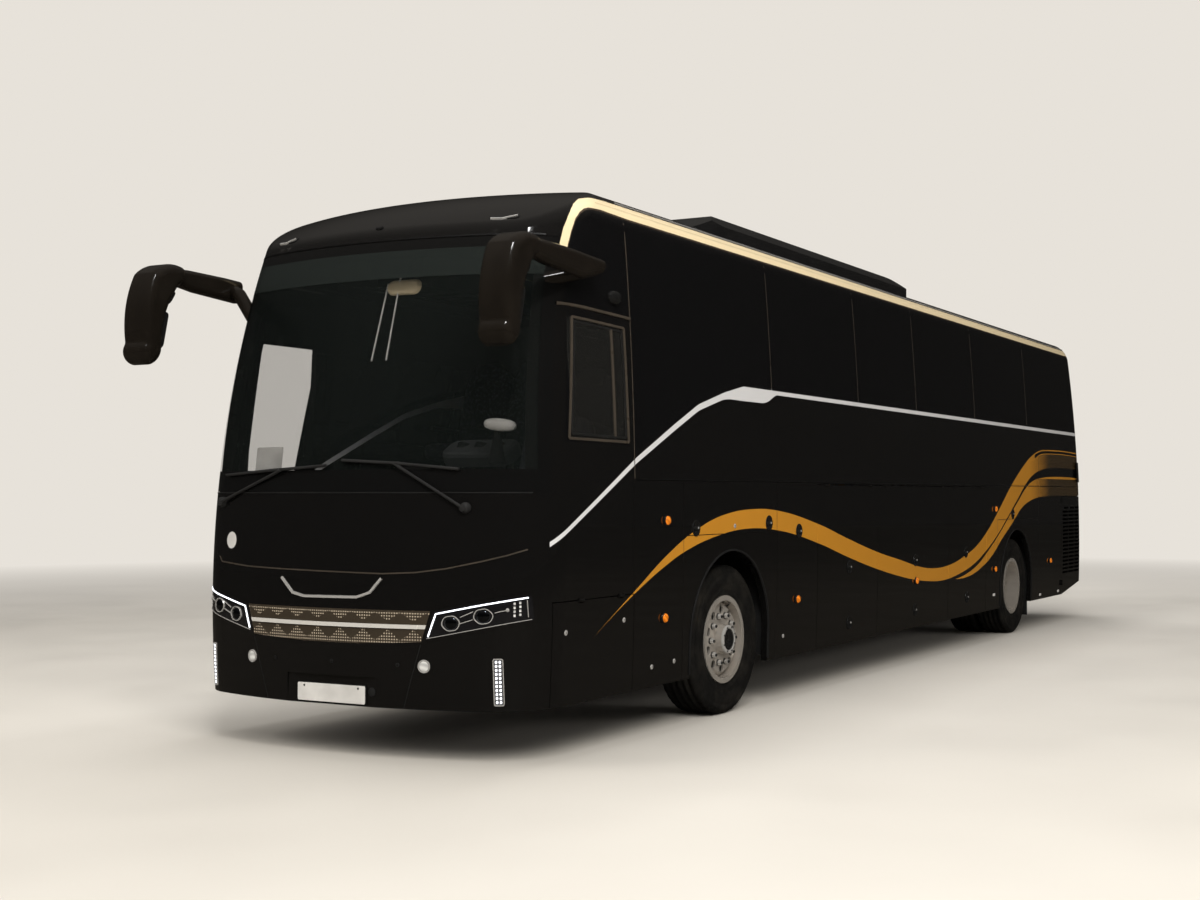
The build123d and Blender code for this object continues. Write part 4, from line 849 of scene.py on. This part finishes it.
def headlamp(piece, sign):
    """Daytime bar, two ringed projectors on a bright bar, and the lamp's bright lip."""
    drl = [(0.664, 0.722), (0.711, 0.851), (0.95, 0.899), (1.188, 0.944)]
    piece.ribbon(front_spots(drl, 0.02, 0, sign), 0.010, 0.004, "drl")
    lip = [(0.655, 0.711), (0.93, 0.766), (1.2, 0.822)]
    piece.ribbon(front_spots(lip, 0.03, 0, sign), 0.005, 0.004, "chrome")
    outer_edge = [(1.188, 0.835), (1.184, 0.93)]
    piece.ribbon(front_spots(outer_edge, 0.02, 0, sign), 0.006, 0.004, "chrome")
    for x, z in ((0.800, 0.800), (0.985, 0.842)):
        ring = rounded(hexagon(x, z, 0.058, 0.047, 0.2), 0.02)
        spots = [on_front(sign * a, b) for a, b in ring]
        piece.ribbon(spots, 0.006, 0.007, "chrome", closed=True)
        spot, normal = on_front(sign * x, z)
        dome = [(0.040, -0.002), (0.036, 0.004), (0.028, 0.009), (0.015, 0.012), (0.0, 0.013)]
        piece.lathe(spot, normal, dome, "projector", 24)
    for a, b in (((0.855, 0.835), (0.930, 0.868)), ((0.856, 0.80), (0.928, 0.823))):
        piece.ribbon(front_spots([a, b], 0.02, 0, sign), 0.006, 0.005, "chrome")
    piece.ribbon(front_spots([(1.045, 0.862), (1.10, 0.876)], 0.02, 0, sign), 0.006, 0.005, "chrome")
    spot, normal = on_front(sign * 1.105, 0.877)
    piece.lathe(spot, normal, [(0.011, 0), (0.010, 0.006), (0.006, 0.010), (0, 0.011)], "chrome", 14)
    for i in range(4):
        nose_pad(piece, 1.135, 0.845 + 0.022 * i, (0.012, 0.014), 0.003, "fog", sign, corner=0.002)
        nose_pad(piece, 1.158, 0.850 + 0.022 * i, (0.012, 0.014), 0.003, "fog", sign, corner=0.002)


def led_strip(piece, sign):
    """Two columns of white dots in a bright frame."""
    frame_line = rounded([(1.036, 0.345), (1.082, 0.345), (1.082, 0.605), (1.036, 0.605)], 0.01)
    piece.ribbon([on_front(sign * x, z) for x, z in frame_line], 0.007, 0.006, "chrome", closed=True)
    for row in range(11):
        for x in (1.050, 1.068):
            nose_pad(piece, x, 0.363 + 0.0225 * row, (0.011, 0.014), 0.004, "drl", sign, corner=0.004)


def fog_lamp(piece, sign):
    spot, normal = on_front(sign * 0.639, 0.555)
    piece.lathe(spot, normal, [(0.038, -0.002), (0.038, 0.006), (0.033, 0.008), (0.031, 0.004)], "chrome", 28)
    piece.lathe(spot, normal, [(0.031, 0.002), (0.027, 0.006), (0.015, 0.009), (0, 0.010)], "fog", 28)


lamps = Piece("chrome", "drl", "projector", "fog")
trims = Piece("chrome", "gloss", "white", "steel", "frame_line", "seal")
for _, sign in SIDES:
    headlamp(lamps, sign)
    led_strip(lamps, sign)
    fog_lamp(lamps, sign)
lamps.make("headlamp_details", BODY)

for _, sign in SIDES:
    trims.ribbon(front_spots([(0.619, 0.676), (0.505, 0.315)], 0.03, 0, sign), 0.006, 0.0006, "seal")
U_TRIM = [(-0.376, 1.034), (-0.281, 0.948), (-0.190, 0.930), (0.200, 0.934), (0.291, 0.963), (0.367, 1.046)]
trims.ribbon(front_spots(U_TRIM, 0.02), 0.019, 0.008, "chrome")
# Moulded lip between the upper mask and the bumper: a real ribbon, but its brownish window-frame colour is a painted
# highlight along the lip.
NOSE_LIP = [(-0.999, 1.142), (-0.968, 1.11), (-0.69, 1.09), (-0.374, 1.083), (0.365, 1.071), (0.583, 1.081)]
NOSE_LIP += [(0.767, 1.105), (0.984, 1.15), (1.097, 1.18), (1.182, 1.213)]
trims.ribbon(front_spots(NOSE_LIP, 0.04), 0.010, 0.003, "frame_line")
nose_pad(trims, -0.873, 1.243, (0.124, 0.124), 0.0015, "gloss")
nose_pad(trims, -0.873, 1.243, (0.104, 0.104), 0.0025, "white")
for x, z in ((0.473, 0.558), (0.021, 0.562), (-0.43, 0.558)):
    nose_pad(trims, x, z, (0.024, 0.024), 0.003, "seal")
    nose_pad(trims, x, z, (0.015, 0.015), 0.0045, "gloss")
trims.pad((0, -6.2775, 0.374), (1, 0, 0), (0, 0, 1), (0.516, 0.120), 0.0015, "gloss", corner=0.010)
trims.pad((0, -6.2775, 0.374), (1, 0, 0), (0, 0, 1), (0.500, 0.104), 0.003, "white", corner=0.008)
for x in (-0.2, 0.2):
    trims.lathe((x, -6.280, 0.410), (0, -1, 0), [(0.006, 0), (0.006, 0.003), (0.003, 0.004)], "steel", 10)
trims.lathe((0.295, -6.2735, 0.395), (0, -1, 0), [(0.026, 0), (0.026, 0.002), (0.0145, 0.002)], "seal", 24)
for x, z in ((0.827, 3.160), (-0.780, 3.125)):
    nose_pad(trims, x, z, (0.185, 0.052), 0.004, "gloss", corner=0.024)
    eye = [(x - 0.070, z - 0.016), (x, z - 0.019), (x + 0.075, z + 0.004)]
    trims.ribbon(front_spots(eye, 0.02), 0.012, 0.010, "chrome")
nose_pad(trims, 0.023, 3.13, (0.05, 0.03), 0.012, "gloss", corner=0.012, bevel=0.6)
SCREEN_TOP_LINE = [(-1.09, 3.043), (0, 3.043), (1.09, 3.043)]
trims.ribbon(front_spots(SCREEN_TOP_LINE, 0.05), 0.012, 0.003, "steel")
TRIM_LINE = [(-1.19, 1.532), (0, 1.532), (1.19, 1.532)]
trims.ribbon(front_spots(TRIM_LINE, 0.05), 0.010, 0.003, "seal")
trims.make("nose_trim", BODY)


# ---------------------------------------------------------------- flanks
def side_pad(piece, y, z, size, rise, mat, sign, **more):
    """Rounded plate on a flank, size in y and z."""
    spot, normal = on_side(y, z, sign)
    u = Vector((0, 0, 1)).cross(normal).normalized()
    piece.pad(spot, u, normal.cross(u), size, rise, mat, **more)


def side_line(points, sign, step=0.05, out=0.0):
    return [on_side(y, z, sign, out) for y, z in spread(points, step)]


def latch(piece, y, z, sign):
    """Round flush latch: a ring, a dished tray, a paddle and its key lock."""
    spot, normal = on_side(y, z, sign)
    ring = [(0.056, -0.002), (0.056, 0.004), (0.051, 0.007), (0.046, 0.005), (0.042, 0.001), (0.0, 0.001)]
    piece.lathe(spot, normal, ring, "gloss", 32)
    side_pad(piece, y, z, (0.074, 0.024), 0.007, "seal", sign, corner=0.010, bevel=0.5)
    lock, normal = on_side(y + 0.024, z, sign, 0.007)
    piece.lathe(lock, normal, [(0.008, 0), (0.008, 0.002), (0.003, 0.003)], "chrome", 14)


def key_lock(piece, y, z, sign):
    spot, normal = on_side(y, z, sign)
    piece.lathe(spot, normal, [(0.016, 0), (0.0155, 0.003), (0.011, 0.0045), (0.0, 0.0045)], "chrome", 20)
    side_pad(piece, y, z, (0.003, 0.012), 0.0055, "seal", sign, corner=0.001)


LATCHES = {
    "front": [(-1.492, 0.926), (-1.478, 0.470)],
    "middle": [(0.093, 0.922), (0.106, 0.470)],
    "rear": [(1.567, 0.945), (1.625, 0.494)],
}
FIXED_LATCHES = [(-4.179, 1.298), (-3.040, 1.312), (-2.505, 1.242), (3.205, 1.305)]
KEY_LOCKS = [(-4.749, 0.435), (-4.457, 0.444), (-2.771, 0.467)]
REFLECTORS = [(2.526, 0.465), (4.339, 0.362), (5.143, 0.359)]
for side, sign in SIDES:
    for door, places in LATCHES.items():
        locks = Piece("gloss", "seal", "chrome")
        for y, z in places:
            latch(locks, y, z, sign)
        locks.make(f"latches_{door}_{side}", home(f"luggage_door_{side}_{door}"))
    flank = Piece("gloss", "seal", "chrome", "white", "steel", "red", "amber")
    for y, z in FIXED_LATCHES:
        latch(flank, y, z, sign)
    for y, z in KEY_LOCKS:
        key_lock(flank, y, z, sign)
    for y, z in REFLECTORS:
        side_pad(flank, y, z, (0.095, 0.040), 0.003, "gloss", sign, corner=0.006)
        side_pad(flank, y, z, (0.082, 0.028), 0.005, "white", sign, corner=0.004)
    key_lock(flank, -3.598, 1.301, sign)
    belt = [(-4.975, 1.612), (6.235, 1.612)]
    flank.ribbon(side_line(belt, sign, 0.09), 0.008, 0.003, "steel")
    gutter = [(-4.95, 3.352), (5.95, 3.333)]
    flank.ribbon(side_line(gutter, sign, 0.09), 0.009, 0.006, "chrome")
    for arch_y in AXLES.values():
        lip = [(arch_y + 0.606 * cos(t), 0.53 + 0.606 * sin(t)) for t in [pi * i / 36 for i in range(37)]]
        lip = [(arch_y + 0.606, 0.335)] + lip + [(arch_y - 0.606, 0.335)]
        flank.ribbon([on_side(y, z, sign) for y, z in lip], 0.016, 0.007, "seal")
    side_pad(flank, 6.13, 1.795, (0.34, 0.25), 0.002, "gloss", sign, corner=0.02)
    side_pad(flank, 6.30, 0.731, (0.09, 0.035), 0.008, "amber", sign, corner=0.012, bevel=0.6)
    flank.make(f"flank_fittings_{side}", BODY)

PANE_SEAMS = [-4.98, -2.94, -1.23, 0.20, 1.95, 3.87]
for side, sign in SIDES:
    seams = Piece("frame_line", "seal", "gloss")
    for y in PANE_SEAMS:
        wide = 0.011 if y == PANE_SEAMS[0] else 0.006
        if sign > 0 or y > -4.9:
            low = 1.62 if wide > 0.01 and sign > 0 else 2.30
            seams.ribbon(side_line([(y, low), (y, 3.215)], sign, 0.1), wide, 0.0015, "frame_line", sink=0.004)
    seams.make(f"pane_seams_{side}", BODY)
cab_frame = Piece("frame_line", "gloss", "seal", "matt")
DRIVER_EDGE = [(-5.722, 1.846), (-5.048, 1.842), (-5.064, 2.545), (-5.640, 2.560)]
spots = [on_side(y, z, 1) for y, z in rounded(spread(DRIVER_EDGE + DRIVER_EDGE[:1], 0.12)[:-1], 0.004, 1)]
cab_frame.ribbon(spots, 0.020, 0.006, "frame_line", closed=True)
DRIVER_INNER = [(-5.692, 1.872), (-5.075, 1.868), (-5.088, 2.520), (-5.620, 2.534)]
spots = [on_side(y, z, 1) for y, z in rounded(spread(DRIVER_INNER + DRIVER_INNER[:1], 0.12)[:-1], 0.004, 1)]
cab_frame.ribbon(spots, 0.016, 0.003, "seal", closed=True)
cab_frame.ribbon(side_line([(-5.205, 1.87), (-5.215, 2.525)], 1, 0.1), 0.026, 0.004, "frame_line")
cab_frame.ribbon(side_line([(-5.735, 2.632), (-4.985, 2.612)], 1, 0.1), 0.022, 0.010, "frame_line")
knob, normal = on_side(-5.18, 2.721, 1)
pillow(cab_frame, knob + normal * 0.012, ((0, 1, 0), (0, 0, 1), (1, 0, 0)), (0.13, 0.085, 0.06), "gloss", 0.8)
cab_frame.make("cab_window_frame", BODY)

flap_trim = Piece("chrome", "seal")
for y, z in ((-5.758, 0.730), (-5.108, 0.756)):
    key_lock(flap_trim, y, z, 1)
flap_trim.make("flap_locks", home("service_flap_left"))

MARKERS = [(-4.586, 1.355), (-4.612, 0.733), (-2.539, 0.728), (2.537, 0.734), (2.551, 1.365), (4.733, 0.739)]


def marker_trim(piece, y, z, sign):
    """Bezel and ribbed lens over a round side marker."""
    spot, normal = on_side(y, z, sign)
    x = max(abs(spot.x), 1.27) * sign
    face = Vector((x, y, z))
    piece.lathe(face, (sign, 0, 0), [(0.033, -0.012), (0.033, 0.001), (0.030, 0.003), (0.027, 0.001)], "gloss", 28)
    piece.lathe(face, (sign, 0, 0), [(0.0295, 0.0), (0.028, 0.010), (0.019, 0.017), (0, 0.019)], "amber", 28)


for side, sign in SIDES:
    amber = Piece("gloss", "amber")
    for y, z in MARKERS:
        marker_trim(amber, y, z, sign)
    amber.make(f"side_markers_{side}", BODY)
    amber = Piece("gloss", "amber")
    marker_trim(amber, 0.109, 0.734, sign)
    amber.make(f"door_marker_{side}", home(f"luggage_door_{side}_middle"))


# ---------------------------------------------------------------- mirrors and wipers
looks = Piece("chrome", "gloss", "seal")
# Mirror plates on each head: y, z of the middle, rise of the plate's upward way, width, height.
PLATES = [(-6.390, 2.530, (0.053, 0.26), 0.165, 0.235), (-6.327, 2.738, (0.070, 0.11), 0.150, 0.105)]
for _, sign in SIDES:
    for y, z, way, width, height in PLATES:
        spot = Vector((sign * 1.315, y, z))
        up = Vector((0, *way)).normalized()
        looks.pad(spot, (-1, 0, 0), up, (width, height), 0.010, "gloss", corner=0.03, sink=0.03)
        looks.pad(spot + Vector((0, 0.009, 0)), (-1, 0, 0), up, (width - 0.016, height - 0.016), 0.003, "chrome", corner=0.024)
looks.make("mirror_glass", BODY)


def blade(piece, a, b, sign=1):
    """Rubber blade and its spine between two ends on the screen."""
    path = front_spots([a, ((a[0] + b[0]) / 2, (a[1] + b[1]) / 2 + 0.004), b], 0.08)
    piece.ribbon([(p + n * 0.006, n) for p, n in path], 0.016, 0.004, "seal", sink=0.006)
    piece.tube([p + n * 0.017 for p, n in path], 0.0045, "matt", 6)


sweep = Piece("matt", "seal")
blade(sweep, (0.820, 1.665), (0.060, 1.720))
blade(sweep, (-0.960, 1.640), (-0.060, 1.690))
for x, z in ((0.867, 1.446), (-0.993, 1.475)):
    spot, normal = on_front(x, z)
    sweep.lathe(spot, normal, [(0.032, -0.01), (0.032, 0.012), (0.026, 0.030), (0.012, 0.038), (0, 0.039)], "matt", 20)
sweep.make("wiper_blades", BODY)


# ---------------------------------------------------------------- roof unit
unit = Piece("gloss", "matt", "steel")
for y in (-2.45, -1.65, -0.75, 0.05):
    for x in (-0.36, 0.36):
        top = Vector((x, y, 3.6117 - 0.0032 * (y + 3.07)))
        rim = [(0.245, -0.012), (0.245, 0.003), (0.228, 0.005), (0.222, -0.004)]
        unit.lathe(top, (0, 0, 1), rim, "gloss", 40)
        for r in (0.06, 0.115, 0.17):
            hoop = [(r, -0.004), (r, 0.004), (r - 0.007, 0.004), (r - 0.007, -0.004)]
            unit.lathe(top, (0, 0, 1), hoop, "matt", 32)
        for i in range(6):
            reach = Vector((0.225 * cos(pi * i / 6), 0.225 * sin(pi * i / 6), 0))
            bar(unit, top - reach, top + reach, 0.007, 0.007, "matt")
unit.make("roof_unit_fans", BODY)


# ---------------------------------------------------------------- tail
def tail_pad(piece, x, z, size, rise, mat, **more):
    spot, normal = on_tail(x, z)
    u = Vector((0, 0, 1)).cross(normal).normalized()
    piece.pad(spot, u, normal.cross(u), size, rise, mat, **more)


rear = Piece("gloss", "chrome", "red", "amber", "fog", "white", "steel", "seal")
for _, sign in SIDES:
    x = sign * 1.045
    for z, mat in ((1.385, "red"), (1.215, "amber"), (1.045, "red"), (0.875, "fog")):
        tail_pad(rear, x, z, (0.142, 0.150), 0.006, "gloss", corner=0.03)
        tail_pad(rear, x, z, (0.124, 0.132), 0.011, mat, corner=0.026, bevel=0.5)
    tail_pad(rear, sign * 1.0, 0.46, (0.16, 0.05), 0.006, "red", corner=0.012)
    tail_pad(rear, sign * 0.80, 3.17, (0.11, 0.035), 0.010, "red", corner=0.012)
tail_pad(rear, 0, 0.455, (0.54, 0.125), 0.004, "gloss", corner=0.01)
tail_pad(rear, 0, 0.455, (0.50, 0.100), 0.006, "white", corner=0.008)
for x in (-0.14, 0.14):
    tail_pad(rear, x, 0.535, (0.07, 0.024), 0.012, "gloss", corner=0.008)
rear.make("tail_fittings", BODY)
lid = Piece("gloss", "chrome", "seal")
for row in range(12):
    spots = [on_tail(x, 0.74 + 0.048 * row) for x in (-0.62, -0.3, 0, 0.3, 0.62)]
    lid.ribbon(spots, 0.026, 0.010, "gloss", sink=0.003)
tail_pad(lid, 0, 0.64, (0.20, 0.055), 0.003, "seal", corner=0.014)
tail_pad(lid, 0, 0.64, (0.17, 0.034), 0.012, "chrome", corner=0.012)
lid.make("engine_lid_fittings", home("engine_lid"))


# ---------------------------------------------------------------- seats and cab
DECK = 1.400
CAB = 0.950
BACK_WAY = Vector((0, 0.17, 0.67)).normalized()
BACK_OUT = Vector((1, 0, 0)).cross(BACK_WAY)


def seat_soft(piece, x, y, floor, width):
    """Cushion, back and headrest of one seat facing the nose."""
    across = (1, 0, 0)
    pillow(piece, (x, y + 0.235, floor + 0.425), (across, (0, 1, -0.08), (0, 0.08, 1)), (width, 0.47, 0.13), "seat")
    low = Vector((x, y + 0.49, floor + 0.47))
    pillow(piece, low + BACK_WAY * 0.30, (across, BACK_OUT, BACK_WAY), (width, 0.12, 0.66), "seat")
    pillow(piece, low + BACK_WAY * 0.59 + BACK_OUT * 0.035, (across, BACK_OUT, BACK_WAY), (width * 0.62, 0.09, 0.16), "seat")


def seat_hard(piece, x, y, floor, width):
    """Shell behind the back, armrest and legs."""
    low = Vector((x, y + 0.525, floor + 0.40))
    piece.pad(low + BACK_WAY * 0.32, (-1, 0, 0), BACK_WAY, (width * 0.96, 0.66), 0.035, "matt", corner=0.06)
    piece.tube([(x - width / 2, y + 0.16, floor + 0.62), (x - width / 2, y + 0.50, floor + 0.60)], 0.016, "matt", 8)
    piece.tube([(x - width / 2, y + 0.46, floor + 0.60), (x - width / 2, y + 0.50, floor + 0.42)], 0.012, "steel", 8)


soft = Piece("seat")
hard = Piece("matt", "steel")
for row in range(12):
    y = -4.050 + 0.800 * row
    for side_x in (0.270, -1.140):
        for k in range(2):
            x = side_x + 0.218 + 0.435 * k
            seat_soft(soft, x, y, DECK, 0.42)
            seat_hard(hard, x, y, DECK, 0.42)
        for x in (side_x + 0.12, side_x + 0.75):
            for dy in (0.14, 0.40):
                hard.tube([(x, y + dy, DECK), (x, y + dy, DECK + 0.38)], 0.016, "steel", 8)
            hard.tube([(x, y + 0.10, DECK + 0.012), (x, y + 0.44, DECK + 0.012)], 0.014, "steel", 8)
soft_obj = soft.make("seat_cushions", BODY)
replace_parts(soft_obj, "seats")
hard.make("seat_frames", BODY)

driver = Piece("seat")
seat_soft(driver, 0.600, -5.420, CAB, 0.50)
driver.make("driver_cushions", BODY)
cab = Piece("matt", "steel", "gloss", "white", "chrome", "dash", "seal", "beige")
seat_hard(cab, 0.600, -5.420, CAB, 0.50)
cab.tube([(0.60, -5.18, CAB), (0.60, -5.18, CAB + 0.34)], [0.17, 0.10], "seal", 20)
cab.pad((0.60, -5.63, 1.735), (1, 0, 0), (0, 0.85, 0.5), (0.50, 0.20), 0.09, "dash", corner=0.07)
for k, x in enumerate((0.47, 0.60, 0.73)):
    cab.lathe((x, -5.66, 1.765), (0, 0.5, 0.85), [(0.052, 0.02), (0.052, 0.055), (0.046, 0.058), (0, 0.056)], "gloss", 24)
cab.pad((0.12, -5.70, 1.62), (1, 0, 0), (0, 0.5, 0.86), (0.24, 0.15), 0.03, "gloss", corner=0.015)
cab.pad((-0.645, -6.11, 1.735), (1, -0.2, 0), (0, 0.12, 1), (0.26, 0.15), 0.003, "white", corner=0.006)
pillow(cab, (0.88, -5.86, 1.925), ((1, 0, -0.1), (0, 1, 0), (0.1, 0, 1)), (0.22, 0.08, 0.075), "white", 0.8)
cab.tube([(0.86, -5.86, 1.70), (0.86, -5.86, 1.90)], [0.05, 0.016], "gloss", 12)
cab.pad((0.214, -5.90, 2.76), (1, 0, 0), (0, 0.2, 1), (0.25, 0.095), 0.02, "beige", corner=0.045, bevel=0.9)
cab.tube([(0.20, -5.88, 2.79), (0.20, -5.80, 2.98)], 0.007, "matt", 8)
# These two thin wires are painted white: a painted highlight in place of the reflections their metal would show.
for top, low in (((0.09, -5.90, 2.79), (0.03, -5.98, 2.32)), ((0.19, -5.90, 2.86), (0.14, -5.98, 2.32))):
    cab.tube([top, low], 0.005, "white", 6)
cab.lathe((0.60, -5.48, 1.56), (0, -0.469, 0.883), [(0.058, 0.0), (0.062, 0.018), (0.040, 0.030), (0, 0.032)], "matt", 24)
cab.make("cab_details", BODY)

floor_mesh = bpy.data.meshes.new("studio_floor")
floor_mesh.from_pydata([(-60, -60, -0.001), (60, -60, -0.001), (60, 60, -0.001), (-60, 60, -0.001)], [], [(0, 1, 2, 3)])
floor = bpy.data.objects.new("studio_floor", floor_mesh)
bpy.context.scene.collection.objects.link(floor)
ground = Shade("studio_floor", (0.62, 0.59, 0.54), 0.6)
ground.wear(0.8, 0.5, 0.7)
paths = ground.tree.nodes.new("ShaderNodeLightPath")
ground.to("Base Color", ground.mix(paths.outputs["Is Glossy Ray"], (0.62, 0.59, 0.54), (0.032, 0.027, 0.020)))
far = ground.math("SQRT", ground.math("ADD", *(ground.math("MULTIPLY", v, v) for v in (ground.x, ground.y))))
glow_out = ground.tree.nodes.new("ShaderNodeEmission")
glow_out.inputs["Color"].default_value = (*BACKDROP, 1)
blend = ground.tree.nodes.new("ShaderNodeMixShader")
out_node = ground.tree.nodes["Material Output"]
fade = ground.math("MULTIPLY", ground.scale(far, 9.0, 24.0), paths.outputs["Is Camera Ray"])
for source, socket in ((fade, blend.inputs[0]), (ground.bsdf.outputs[0], blend.inputs[1]),
                       (glow_out.outputs[0], blend.inputs[2]), (blend.outputs[0], out_node.inputs["Surface"])):
    ground.tree.links.new(source, socket)
floor_mesh.materials.append(ground.mat)
